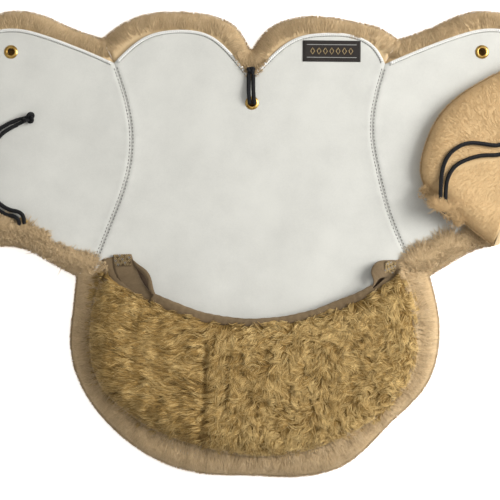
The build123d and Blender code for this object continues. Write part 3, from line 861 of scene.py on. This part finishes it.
def pocket_locks(spacing, per_lock, seed):
    """Lines, widths and shades of curly locks, each of several strands that share one curl."""
    rng = np.random.default_rng(seed)
    c = scatter(POCKET_LOOP, spacing)
    n = len(c)
    x, y = c[:, 0], c[:, 1]
    right = smooth((x + 46) / 10)
    a = pocket_flow(x, y) + rng.normal(0, 0.13 + 0.2 * right, n)
    d, u = distance(c, [SIDES])
    edge = 1 - smooth(d / 22)
    m, um = distance(c, [MOUTH_LINE])
    lip = (1 - smooth(m / 12)) * 0.75
    way = towards(a) * (1 - 0.4 * edge - 0.4 * lip)[:, None]
    way = unit(way + (u * (0.4 * edge)[:, None] + um * (0.4 * lip)[:, None]))
    long = rng.uniform(13, 23, n) * (1 - 0.28 * right) * (1 - 0.35 * lip) * (1 - 0.5 * edge)
    curl = rng.uniform(0.3, 1.0, n) * (0.8 + 0.7 * right)
    pitch = rng.uniform(7, 13, n)
    phase = rng.uniform(0, 2 * math.pi, n)
    twist = rng.normal(0, 0.035, n) * (0.5 + 1.2 * right)
    tone = np.clip(0.5 + 0.12 * wave(x, y, 55, 24) + rng.normal(0, 0.07, n) + 0.18 * right - 0.12, 0, 1)
    lift = rng.uniform(0.7, 2.4, n)
    i = np.repeat(np.arange(n), per_lock)
    shape = len(i), LOCK_POINTS
    t = np.linspace(0, 1, LOCK_POINTS)[None]
    root = rng.normal(0, 2.3, (len(i), 2))
    root *= (3.4 / np.maximum(np.linalg.norm(root, axis=1), 3.4))[:, None]
    long, curl, pitch, phase, twist, lift = (v[i][:, None] for v in (long, curl, pitch, phase, twist, lift))
    s = long * t * rng.uniform(0.75, 1.08, len(i))[:, None]
    turn = s / pitch * 2 * math.pi + phase
    bent = curl * np.sin(turn) * (0.35 + t) + twist * s**2 * 0.5
    flat = c[i][:, None] + way[i][:, None] * s[..., None] + left_of(way)[i][:, None] * bent[..., None]
    flat += root[:, None] * (1 - 0.5 * t)[..., None]
    spots = flat.reshape(-1, 2)
    z = pocket_height(spots).reshape(shape)
    out = ~inside(spots, POCKET_LOOP).reshape(shape)
    fall = 0.25 * distance(spots, [SIDES])[0].reshape(shape) * (flat[..., 1] < -60)
    z = np.where(out, np.minimum(z, 23.5) - fall, z)
    past = distance(spots, [MOUTH_LINE])[0].reshape(shape)
    z = np.where(out & (past < 9), LOCK_TOPS - 0.28 * past, z)
    z += -2.2 + (lift + 2.4) * risen(t, 1.35) - 0.9 * t**4
    z += 0.5 * curl * np.cos(turn) * t
    thick = rng.uniform(0.17, 0.36, len(i))[:, None] * np.array([0.9, 1, 1, 1, 0.95, 0.8, 0.55, 0.12])[None]
    shade = np.clip(tone[i] + rng.normal(0, 0.24, len(i)), 0, 1)
    over = (MOUTH_R - np.linalg.norm(flat - MOUTH, axis=2)).max(1)
    keep = over < np.where(np.abs(flat[:, 0, 0]) > 110, 1.5, 5.0)
    return np.dstack([flat, z])[keep], thick[keep], shade[keep]


LOCK_POINTS = 8
LOCK_TOPS = 37.0  # where locks hang over the pocket's mouth
for part, seed in ((1, 61), (2, 62)):
    lines, thick, shade = pocket_locks(spacing=5.4, per_lock=15, seed=seed)
    locks = bundle(f"pocket_locks_{part}", lines, thick, 3, shade)
    finish_piece(locks, WOOL_POCKET, "seat")


# Wool of the rim that reaches round the pocket and over its outer edge.
ring = scatter(SEAT_LOOP, 1.15, SEAT_SILS, 46)
d, _ = distance(ring, [SIDES])
m, _ = distance(ring, [MOUTH_LINE])
x, y = ring[:, 0], ring[:, 1]
outside = (d < 24) & (m > 4) & (np.abs(x) + y * 0.15 > 139 - 400 * (y < -45))
behind = y < -8 + 6 * wave(x, y, 83, 9) + RNG.normal(0, 2.5, len(ring))
ring = ring[behind & np.where(inside(ring, POCKET_LOOP), d < 7, outside)]
d, u = distance(ring, SEAT_SILS)
n = len(ring)
way = swung(u, 0.4 * wave(ring[:, 0], ring[:, 1], 81, 24) + RNG.normal(0, 0.2, n))
far = np.minimum(RNG.uniform(8, 17, n), d + 1.0)
t = np.linspace(0, 1, 6)
flat = rays(ring, way, far, t)
spot = flat.reshape(-1, 2)
ease = smooth(distance(spot, [SIDES])[0] / 16)
edge = edge_height(SEAT_SILS)(spot)
level = 24.3 * (1 - ease) + np.maximum(edge, 0) * ease
level = np.where(inside(spot, POCKET_LOOP), pocket_height(spot) + 0.4, level)
level = np.where(distance(spot, SEAT_SILS)[0] < 16, np.minimum(level, edge + 1.2), level)
z = level.reshape(n, 6) - 0.8 + (RNG.uniform(0.3, 1.3, n)[:, None] + 0.7) * risen(t, 1.3)
width = widths(0.24, 0.46, n, [0.9, 1.0, 1.0, 0.9, 0.6, 0.12])
obj = bundle("pocket_rim_strands", np.dstack([flat, z]), width, 3, shades(ring, 82))
finish_piece(obj, WOOL_RIM, "seat")


# ---- elastic and binding at the pocket's mouth
def faced_out(obj, caps=()):
    """Adds the end faces that a body lacks and turns every face outwards."""
    mesh = bmesh.new()
    mesh.from_mesh(obj.data)
    mesh.verts.ensure_lookup_table()
    for cap in caps:
        mesh.faces.new([mesh.verts[i] for i in cap])
    bmesh.ops.recalc_face_normals(mesh, faces=mesh.faces)
    mesh.to_mesh(obj.data)
    mesh.free()
    return obj


def swept_band(name, centre, half_width, half_height, twist=0.0, sides=12):
    """A soft flat band along a three-dimensional line."""
    k = len(centre)
    t = unit(np.gradient(centre, axis=0))
    s = unit(np.column_stack([left_of(t), np.zeros(k)]))
    b = np.cross(t, s)
    turn = angles(sides)
    c, e = (np.sign(q) * np.abs(q) ** 0.7 for q in (np.cos(turn), np.sin(turn)))
    w = np.broadcast_to(half_width, k)[:, None, None]
    h = np.broadcast_to(half_height, k)[:, None, None]
    s2 = s * math.cos(twist) + b * math.sin(twist)
    b2 = -s * math.sin(twist) + b * math.cos(twist)
    verts = centre[:, None] + s2[:, None] * c[None, :, None] * w + b2[:, None] * e[None, :, None] * h
    verts = np.vstack([verts.reshape(-1, 3), centre[:1], centre[-1:]])
    obj = make_mesh(name, verts, net(k, sides))
    caps = []
    for start, tip in ((0, k * sides), ((k - 1) * sides, k * sides + 1)):
        caps += [(start + a, start + (a + 1) % sides, tip) for a in range(sides)]
    return faced_out(obj, caps)


def ruled(name, left, right, heights, thickness=1.3, crown=0.5, n=40, m=9):
    """A closed strip of tape between two edges, with its height along it."""

    def sampled(values):
        return np.interp(np.linspace(0, 1, n), np.linspace(0, 1, len(values)), values)

    a, b = (np.column_stack([sampled(q) for q in spline(edge, 0.5).T]) for edge in (left, right))
    z = sampled(heights)
    across = np.linspace(0, 1, m)[None, :, None]
    flat = a[:, None] * (1 - across) + b[:, None] * across
    top = z[:, None] + crown * np.sin(np.linspace(0, math.pi, m))[None] + 0.12 * np.sin(np.arange(n) * 1.9)[:, None]
    upper = np.dstack([flat, top]).reshape(-1, 3)
    lower = np.dstack([flat, top - thickness]).reshape(-1, 3)
    q = net(n, m, round_across=False)
    size = n * m
    rim = [(r * m, (r + 1) * m) for r in range(n - 1)] + [((r + 1) * m + m - 1, r * m + m - 1) for r in range(n - 1)]
    rim += [(c + 1, c) for c in range(m - 1)] + [((n - 1) * m + c, (n - 1) * m + c + 1) for c in range(m - 1)]
    walls = [(e, f, f + size, e + size) for e, f in rim]
    obj = make_mesh(name, np.vstack([upper, lower]), np.vstack([q, q[:, ::-1] + size, np.array(walls)]))
    return faced_out(obj)


BAND_POINTS = 420
angle = np.linspace(-math.pi / 2 - 0.455, -math.pi / 2 + 0.555, BAND_POINTS)
run = np.arange(BAND_POINTS)


def drift(seed, scale):
    """A slow change along the binding."""
    return wave(run * 1.0, run * 0.0, seed, scale)


radius = MOUTH_R - 3.2 + 0.12 * np.sin(run * 0.33 + 1.3 * np.sin(run * 0.05)) + 0.6 * drift(71, 90)
gather = 33.6 + 0.15 * np.sin(run * 0.47) + 0.5 * drift(72, 60)
centre = np.column_stack([MOUTH + radius[:, None] * towards(angle), gather])
left = smooth((190.0 - run) / 150)
centre[:, :2] += (MOUTH - centre[:, :2]) * (1.2 * left / radius)[:, None]
wide = 4.3 + 0.7 * drift(73, 120) + 1.3 * left
binding = swept_band("mouth_binding_band", centre, wide, 2.3, twist=0.25)
finish_piece(binding, ELASTIC, "seat", ["mouth_binding", "mouth_elastic"])
fold = centre.copy()
fold[:, :2] += (MOUTH - fold[:, :2]) * (3.1 / radius)[:, None]
fold[:, 2] += 0.9
piping = swept_band("mouth_binding_fold", fold, 1.3, 0.8, sides=8)
finish_piece(piping, ELASTIC, "seat")

# Each tape: its name, its cloth, the CAD nodes it stands for, its two edges, its heights and its make.
TAPES = (
    (
        "left_elastic_end", ELASTIC, ["left_elastic_tab"],
        [(-137.5, -4.5), (-136.5, -20), (-129, -34), (-116, -44), (-101, -52)],
        [(-119.5, -4), (-116.5, -13), (-112, -24), (-105, -36), (-95, -46)], [24.4, 25.0, 27.2, 31.0, 33.6], {},
    ),
    (
        "left_binding_end", ELASTIC, (),
        [(-149, -9.5), (-145.8, -18.5), (-138.4, -30.6), (-130.2, -40), (-118.5, -48.5)],
        [(-137, -6.5), (-134.5, -18), (-129, -29), (-121, -38), (-109, -47)], [23.4, 23.8, 26.0, 29.5, 32.6],
        {"crown": 0.8},
    ),
    (
        "left_elastic_arch", ELASTIC, ["left_elastic_loop"],
        [(-118.5, -9), (-111, -15), (-104.5, -19.5), (-99.5, -27), (-97, -37), (-93, -46), (-86, -51)],
        [(-116.5, -15), (-111.5, -20.5), (-107.5, -24), (-103.5, -30), (-101.5, -38), (-97, -46), (-89, -54)],
        [25.2, 29, 33, 35, 35.5, 35.6, 35.2], {"crown": 0.9},
    ),
    (
        # Painted shade: darker elastic inside the left loop.
        "left_elastic_inside", ELASTIC_PAINTED_SHADE, (), [(-121, -13), (-116, -22), (-110, -33), (-100, -46)],
        [(-109, -18), (-103, -25), (-99.5, -33), (-95, -44)], [24.4, 25.0, 27.0, 31.0], {"thickness": 1.2},
    ),
    (
        "right_elastic_end", ELASTIC, ["right_elastic_tab", "right_elastic_loop"],
        [(146, -10), (135, -10), (126, -11.5), (121, -16), (119.2, -23), (121.5, -32), (116, -40)],
        [(148, -22), (141, -26), (134.5, -27.6), (130.5, -27.4), (127, -29.2), (124, -33), (117, -41.5)],
        [24.2, 24.8, 28.5, 32.5, 34.5, 35.5, 35.2], {"crown": 0.9},
    ),
    (
        "right_binding_end", ELASTIC, (), [(149, -15), (142, -22.5), (134.3, -27.2), (126, -34.6), (114, -43)],
        [(152, -25), (146, -30), (138, -34.5), (128, -40.5), (116, -47)], [23.8, 26, 30, 33, 34.6], {"crown": 0.8},
    ),
    (
        # Painted shade: darker elastic inside the right loop.
        "right_elastic_inside", ELASTIC_PAINTED_SHADE, (), [(140, -24), (131, -25), (123, -32)],
        [(144, -30), (134, -36), (121, -41)], [24.0, 24.6, 25.5], {"thickness": 1.2},
    ),
)  # fmt: skip
for name, cloth, nodes, left, right, heights, make in TAPES:
    finish_piece(ruled(name, left, right, heights, **make), cloth, "seat", nodes)


# ---- threads
def threads(name, lines, radius, mat, body, nodes=(), blend=None, sides=5):
    """Separate short or long threads; every line has the same number of points."""
    lines = np.asarray(lines, float)
    obj = bundle(name, lines, np.full(lines.shape[:2], radius), sides)
    finish_piece(obj, mat, body, nodes, blend)


ZIGZAG_PITCH, SEAM_PITCH, WRAP_PITCH, EDGE_PITCH = 3.0, 3.6, 2.1, 3.0


def even(chain, pitch):
    """Places a pitch apart along a chain, with the unit direction at each."""
    s = run_along(chain)
    at = np.arange(0, s[-1], pitch)
    p = np.column_stack([np.interp(at, s, q) for q in chain.T])
    g = unit(np.gradient(p, axis=0))
    return p, g, left_of(g)


def on_lining(p, lift):
    return np.column_stack([p, TOP + ripple(p) + lift])


def stitches(mid, way, half, lifts):
    """Short stitches along a line, each rising off the lining and going back in."""
    pairs = (at + step * np.array([-half, 0, half])[:, None] for at, step in zip(mid, way))
    return [on_lining(pair, np.array(lifts)) for pair in pairs]


for name, seam in (("left", LEFT_SEAM), ("right", RIGHT_SEAM)):
    seam = seam[2:][seam[2:, 1] < 190]
    p, g, v = even(seam, ZIGZAG_PITCH)
    sway = np.where(np.arange(len(p)) % 2, 1.0, -1.0) * 1.35
    zigzag = on_lining(p + v * sway[:, None], 0.62)
    nodes = [f"{name}_seam_stitching"]
    threads(f"{name}_seam_zigzag", zigzag[None], 0.17, THREAD_GREY, "seat", nodes)
    p, g, v = even(seam, SEAM_PITCH)
    rows = [line for row in (-1.6, 1.6) for line in stitches(p + v * row, g, 0.8, [0.12, 0.4, 0.12])]
    threads(f"{name}_seam_stitches", rows, 0.31, THREAD_DARK, "seat")


def overlock(name, chain, body, nodes, blend=None):
    """A serged cloth edge: a soft band wrapped in slanting thread; the cloth is on the chain's left."""
    p, g, v = even(chain, WRAP_PITCH)
    band = swept_band(f"{name}_roll", on_lining(p + v * 1.5, 0.45), 1.5, 0.75, sides=10)
    finish_piece(band, THREAD_WHITE, body, nodes, blend)
    turns = []
    for a, b in zip(p + v * 0.1, p + v * 3.0 + g * 1.1):
        line = a + (b - a) * np.array([0, 0.33, 0.67, 1])[:, None]
        turns.append(on_lining(line, np.array([0.5, 1.4, 1.4, 0.4])))
    threads(f"{name}_thread", turns, 0.26, THREAD_GREY, body, (), blend, 4)
    p, g, v = even(chain, EDGE_PITCH)
    rows = stitches(p + v * 3.3, g, 0.7, [0.1, 0.35, 0.1])
    threads(f"{name}_stitches", rows, 0.3, THREAD_DARK, body, (), blend, 4)


overlock("left_lobe_edge", LEFT_LOBE[1:-1], "seat", ["left_lobe_overlock"])
overlock("right_lobe_edge", RIGHT_LOBE[::-1][1:-1], "seat", ["right_lobe_overlock"])
front = LEFT_WING_EDGE[(LEFT_WING_EDGE[:, 1] > 150)]
overlock("left_wing_edge", front[1:], None, ["left_wing_overlock"], fold_blend(-1))
front = RIGHT_EDGE_FRONT[RIGHT_EDGE_FRONT[:, 0] < 268]
overlock("right_wing_edge", front[::-1][:-1], None, ["right_wing_overlock"], fold_blend(1))

# Zigzag bar tacks on the elastic's sewn ends.
TACK_POINTS = 15
for name, corner, along, across, rows, height in (
    ("left", (-136.8, -5.6), (16.2, 0.0), (1.2, -10.5), 6, lambda x: 25.75),
    ("right", (144.0, -12.0), (-1.5, -11.5), (-10.5, 1.0), 7, lambda x: 26.0 + np.clip(142 - x, 0, None) * 0.38),
):
    corner, along, across = np.array(corner), np.array(along), np.array(across)
    lines = []
    count = np.arange(TACK_POINTS)
    for row in range(rows):
        t = np.linspace(0, 1, TACK_POINTS)
        p = corner + along * t[:, None] + across * (row / rows)
        p = p + across / rows * (0.6 * np.where(count % 2, 1, -1))[:, None]
        lines.append(np.column_stack([p, height(p[:, 0]) + 0.1 * np.cos(count * 2.1)]))
    bits = [line[k : k + 3] for line in lines for k in range(0, TACK_POINTS - 2, 2)]
    gold = [bit for i, bit in enumerate(bits) if (i * 5 + i // 7) % 7 not in (3, 6)]
    grey = [bit for i, bit in enumerate(bits) if (i * 5 + i // 7) % 7 == 3]
    threads(f"{name}_zigzag_tack", gold, 0.32, THREAD_GOLD, "seat", [f"{name}_bartack"])
    threads(f"{name}_zigzag_grey", grey, 0.3, THREAD_GREY, "seat")
    # Painted shadow: a darker copy of the zigzag threads, moved half a row across and laid just above them.
    shadow = np.array(lines)
    shadow[:, :, :2] += across / rows * 0.5
    shadow[:, :, 2] += 0.12
    threads(f"{name}_tack_painted_shadow", shadow, 0.32, ELASTIC_PAINTED_SHADE, "seat")

# ---- label
LABEL_AT, LABEL_HALF, LABEL_RISE = np.array([80.7, 198.8]), np.array([28.9, 10.6]), 0.72
c, e = math.cos(math.radians(-0.5)), math.sin(math.radians(-0.5))
LABEL_TURN = np.array([[c, e], [-e, c]])


def on_label(p, lift=0.0):
    p = np.asarray(p, float) * LABEL_HALF @ LABEL_TURN + LABEL_AT
    return on_lining(p, LABEL_RISE + lift)


square = spaced(np.array([(-1, -1), (1, -1), (1, 1), (-1, 1)]) * LABEL_HALF @ LABEL_TURN + LABEL_AT, 2.5)
above, below = lambda p: TOP + ripple(p) + LABEL_RISE, lambda p: TOP + ripple(p) + 0.05
label = closed_pad("label_patch", square, 2.5, above, below)
finish_piece(label, LABEL_CLOTH, "seat", ["label"])
rows = []
for row in (-1, 1):
    for x in np.arange(-0.94, 0.94, 0.062):
        rows.append(on_label([(x, row * 0.9), (x + 0.02, row * 0.9), (x + 0.04, row * 0.9)], 0.12))
    for y in np.arange(-0.86, 0.84, 0.17):
        rows.append(on_label([(row * 0.965, y), (row * 0.965, y + 0.05), (row * 0.965, y + 0.11)], 0.12))
threads("label_stitches", rows, 0.24, THREAD_DARK, "seat", ["label_stitching"])
middles = [-0.66 + 0.22 * i for i in range(7)]
diamonds = [[(x - 0.07, 0), (x, 0.3), (x + 0.07, 0), (x, -0.3), (x - 0.07, 0)] for x in middles]
rows = [on_label(diamond, 0.08) for diamond in diamonds]
threads("label_woven_pattern", rows, 0.3, THREAD_GOLD, "seat")
rows = [on_label([(-0.86, y), (-0.4, y), (0.4, y), (0.86, y)], 0.06) for y in (-0.6, 0.6)]
threads("label_woven_lines", rows, 0.28, THREAD_GREY, "seat")


# ---- grommets
def lathe(name, place, profile, segments=48):
    """A ring turned from a closed outline of (radius, height) points."""
    verts = [np.column_stack([towards(angles(segments)) * r + place, np.full(segments, z)]) for r, z in profile]
    return make_mesh(name, np.vstack(verts), net(len(profile), segments, round_rows=True))


def body_of(grommet):
    side = grommet.split("_")[0]
    return "seat" if side == "front" else f"{side}_wing"


FLANGE = [(3.4, 18.2), (3.4, 22.6), (3.6, 23.2), (4.2, 23.55), (5.0, 23.5), (5.9, 23.1), (6.6, 22.75), (6.85, 22.45)]
FLANGE += [(6.7, 22.25), (4.05, 22.3), (4.0, 18.2)]
WASHER = [(4.05, 18.1), (4.05, 19.0), (6.6, 19.0), (7.15, 18.8), (7.15, 18.3), (6.6, 18.1)]
for name, place in GROMMETS.items():
    for made, profile, node in (("eyelet_flange", FLANGE, "grommet"), ("eyelet_washer", WASHER, "washer")):
        finish_piece(lathe(f"{name}_{made}", place, profile), BRASS, body_of(name), [f"{name}_{node}"])

# Wool that curls over the edge of the folded end, and round the tie that comes out of it.
TUFT = SIL_TIP[(SIL_TIP[:, 0] < 212) & (SIL_TIP[:, 1] < 66) & (SIL_TIP[:, 1] > 8)]
turned = TUFT[::-1] if inside(TUFT[len(TUFT) // 2][None] + 3 * np.array([[-1.0, -0.3]]), TIP_LOOP)[0] else TUFT
for name, sign, level in (("in", 1, 36.0), ("out", -1, 33.0)):
    fuzz(f"tip_tuft_{name}", turned[::sign], 1500, (3, 9), "right_wing_tip", None, 7.0, level, WOOL_TIP)
near = spline([(180, 43.5), (188, 42.5), (199, 42)])
fuzz("tie_tuft", near, 900, (8, 14), "right_wing_tip", None, 3.0, 49.2, WOOL_TIP)

# Wool seen down through the grommets, made dark: painted shade in the holes.
HAIRS = 420
for name, place in GROMMETS.items():
    spin, out = RNG.uniform(0, 2 * math.pi, HAIRS), RNG.uniform(4, 8, HAIRS)
    start = np.array(place) + towards(spin) * out[:, None]
    stop = np.array(place) + RNG.normal(0, 2.2, (HAIRS, 2))
    t = np.linspace(0, 1, 5)[None, :, None]
    flat = start[:, None] * (1 - t) + stop[:, None] * t
    z = RNG.uniform(6, 13, HAIRS)[:, None] + 2.0 * t[..., 0]
    radii, shade = np.full((HAIRS, 5), 0.42), np.full(HAIRS, 0.1)
    obj = bundle(f"{name}_wool_below", np.dstack([flat, z]), radii, 3, shade)
    finish_piece(obj, WOOL_POCKET, body_of(name))

# ---- ties
CORD_D = 4.2


def cord_line(points):
    """The smooth line of a cord's route, in millimetres."""
    curve = bpy.data.curves.new("route", "CURVE")
    curve.dimensions = "3D"
    curve.resolution_u = 10
    line = curve.splines.new("NURBS")
    line.points.add(len(points) - 1)
    for point, place in zip(line.points, points):
        point.co = (*(q * MM for q in place), 1)
    line.order_u = 3
    line.use_endpoint_u = True
    holder = linked("route", curve)
    mesh = bpy.data.meshes.new_from_object(holder)
    path = np.array([v.co for v in mesh.vertices]) / MM
    bpy.data.objects.remove(holder)
    return path


YARNS, BRAID_PITCH = 4, 2.1


def rope(name, path, radius=CORD_D / 2, sides=14, blunt=True):
    """A round braided cord along a line, with a map for its braid and a slightly loose surface."""
    s = run_along(path)
    n = max(8, int(s[-1] / 0.7))
    at = np.linspace(0, s[-1], n)
    p = np.column_stack([np.interp(at, s, path[:, q]) for q in range(3)])
    t = unit(np.gradient(p, axis=0))
    across = [unit(np.cross(t[0], (0.1, 0.2, 1.0)))]
    for along in t[1:]:
        across.append(unit(across[-1] - along * (across[-1] @ along)))
    a = np.array(across)
    b = np.cross(t, a)
    turn = angles(sides)
    one, other = turn[None] * YARNS, at[:, None] * BRAID_PITCH
    braid = np.sin(one + other) * np.sin(one - other)
    r = radius * (0.97 + 0.035 * braid)
    ends = np.minimum(at, s[-1] - at)
    r = r * np.where(ends < 0.5, 0.86, 1.0)[:, None] if blunt else r
    ring = a[:, None] * np.cos(turn)[:, None] + b[:, None] * np.sin(turn)[:, None]
    verts = np.vstack([(p[:, None] + ring * r[..., None]).reshape(-1, 3), p[:1], p[-1:]])
    mesh = bpy.data.meshes.new(name)
    faces = net(n, sides).tolist()
    for j in range(sides):
        faces.append((j, n * sides, (j + 1) % sides))
        faces.append(((n - 1) * sides + (j + 1) % sides, n * sides + 1, (n - 1) * sides + j))
    mesh.from_pydata((verts * MM).tolist(), [], faces)
    layer = mesh.uv_layers.new(name="braid")
    for poly in mesh.polygons:
        wrap = {0, sides - 1} <= {v % sides for v in poly.vertices}
        for li, v in zip(poly.loop_indices, poly.vertices):
            if v >= n * sides:
                layer.data[li].uv = (0, 0)
                continue
            i, j = divmod(v, sides)
            if wrap and j == 0:
                j = sides
            layer.data[li].uv = (j / sides * YARNS, at[i] * BRAID_PITCH / (2 * math.pi))
        poly.use_smooth = True
    return linked(name, mesh), p


def tied_knot(name, place, turn, size, tails):
    """An overhand knot pulled fairly tight, with the ends that come out of it."""
    t = np.linspace(0, 2 * math.pi, 90)
    x = np.sin(t) + 2 * np.sin(2 * t)
    y = np.cos(t) - 2 * np.cos(2 * t)
    z = -np.sin(3 * t)
    radius = 1.75
    p = np.column_stack([x / 3, y / 3, z]) * (np.array(size) / 2 - radius)
    c, e = math.cos(math.radians(turn)), math.sin(math.radians(turn))
    p[:, :2] = p[:, :2] @ [[c, e], [-e, c]]
    pieces = [rope(name, p + np.array(place), radius, 12, blunt=False)[0]]
    for i, tail in enumerate(tails):
        pieces.append(rope(f"{name}_tail_{i}", spline3(tail), 1.8, 12)[0])
    return merged(name, pieces)


def spline3(points):
    points = np.asarray(points, float)
    flat = spline(points[:, :2], 0.8)
    z = np.interp(np.linspace(0, 1, len(flat)), np.linspace(0, 1, len(points)), points[:, 2])
    return np.column_stack([flat, z])


ON_LINING, ON_TIP, START = TOP + 2.4, TIP_TOP + 2.4, TOP + 2.8


def lying(z, *places):
    """The part of a route that lies at one height."""
    return [(x, y, z) for x, y in places]


TIES = {
    "front_tie_strand_a": [
        (-1.4, 146, START), (-2, 152, 28.4), (-2.4, 159, 27.6), (-2.3, 167, 25.6), (-2.3, 175, 25.3),
    ],
    "front_tie_strand_b": [
        (3.4, 146, START), (2.8, 152, 28.4), (2.3, 159, 27.6), (2.3, 167, 25.6), (2.3, 175, 25.3),
    ],
    "left_tie_strand_a": [
        (-226.6, 26, START), (-225.5, 32, 28.6), (-230, 38, 28),
        *lying(ON_LINING, (-242, 40), (-254, 48), (-261, 64), (-262, 84), (-258, 104), (-247, 119), (-233, 125)),
    ],
    "left_tie_strand_b": [
        (-231.4, 25, START), (-231, 30, 28.2), (-236, 34, 27.6),
        *lying(ON_LINING, (-245, 35), (-258, 44), (-266, 62), (-267, 85), (-263, 107), (-250, 123.5), (-233, 130)),
    ],
    "right_tie_strand_a": [
        (186, 44.5, 33), (186, 39.5, 40), (186, 43.5, 48.5), (186, 56, 50),
        *lying(ON_TIP, (187, 73), (190.5, 88), (199, 99), (213, 106), (229, 104.5), (244, 102), (256, 109)),
        *lying(ON_TIP, (264, 124), (268, 142)),
    ],
    "right_tie_strand_b": [
        (190.8, 40.5, 33), (190.8, 35.5, 40), (190.8, 39.5, 48.5), (190.8, 54, 50),
        *lying(ON_TIP, (192.5, 70), (200, 83), (214, 90), (229, 93.5), (245, 93), (260, 100), (269, 117)),
        *lying(ON_TIP, (272.8, 142)),
    ],
}  # fmt: skip
KNOTS = {
    "front": (
        (0, 179.5, 26.6), 0, (10, 8, 7),
        [[(-2.3, 174.5, 25.3), (-1.5, 179, 26)], [(2.3, 174.5, 25.3), (1.5, 179, 26)]],
    ),
    "left": (
        (-221, 131.5, 27.2), 35, (14, 12, 8.6),
        [[(-234, y, 24.7), (-229, y2, 25.4), (-224, y3, 26.6)] for y, y2, y3 in ((125, 127, 130), (130, 131, 132))],
    ),
    "right": (
        (270.5, 149, 49.2), 90, (13, 10, 8.0),
        [[(268, 141.5, 47.1), (269, 146, 48)], [(272.8, 141.5, 47.1), (271.5, 146, 48)]],
    ),
}  # fmt: skip
HOMES = {"front": "seat", "left": "left_wing", "right": "right_wing_tip"}
for tie, (place, turn, size, tails) in KNOTS.items():
    knot = tied_knot(f"{tie}_tied_knot", place, turn, size, tails)
    finish_piece(knot, CORD, HOMES[tie], [f"{tie}_tie_knot"])
    for letter in "ab":
        node_name = f"{tie}_tie_strand_{letter}"
        strand, path = rope(f"{tie}_tie_cord_{letter}", cord_line(TIES[node_name]))
        finish_piece(strand, CORD, HOMES[tie], [node_name])
        if tie != "front":
            long = float(run_along(path)[-1]) * MM

# The pocket's own lining keeps its plain shape: only its edge shows, inside the mouth.
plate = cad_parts["pocket_lining"]
plate.data.materials.clear()
plate.data.materials.append(ELASTIC)


# ---- camera and light
camera = linked("camera", bpy.data.cameras.new("camera"))
camera.location = (-0.001, 0.0, 1.522)  # straight above the middle
camera.data.sensor_width = 36
camera.data.lens = 108
bpy.context.scene.camera = camera


def area_light(name, place, target, size, power):
    lamp = bpy.data.lights.new(name, "AREA")
    lamp.shape = "DISK"
    lamp.size = size
    lamp.energy = power
    obj = linked(name, lamp)
    obj.location = place
    obj.rotation_euler = (Vector(target) - Vector(place)).to_track_quat("-Z", "Y").to_euler()


area_light("key", (1.3, 0.35, 1.05), (0.05, 0, 0), 1.1, 34)
area_light("fill", (0.3, 0.5, 2.1), (0, 0, 0), 1.8, 7)
world = bpy.data.worlds.new("studio")
bpy.context.scene.world = world
world.use_nodes = True
backdrop = world.node_tree.nodes["Background"].inputs
backdrop["Color"].default_value = (1.0, 1.0, 1.0, 1)
backdrop["Strength"].default_value = 0.43
FAR = 20000
corners = [(x * FAR, y * FAR, -0.5) for x, y in ((-1, -1), (1, -1), (1, 1), (-1, 1))]
floor = make_mesh("floor", corners, [(0, 1, 2, 3)], False)
paper = {"Base Color": (0.98, 0.98, 0.98, 1), "Roughness": 0.9, "Specular IOR Level": 0.0}
paper |= {"Emission Color": (1, 1, 1, 1), "Emission Strength": 0.6}
floor.data.materials.append(Look("paper").made(paper))
bpy.context.scene.view_settings.view_transform = "Standard"
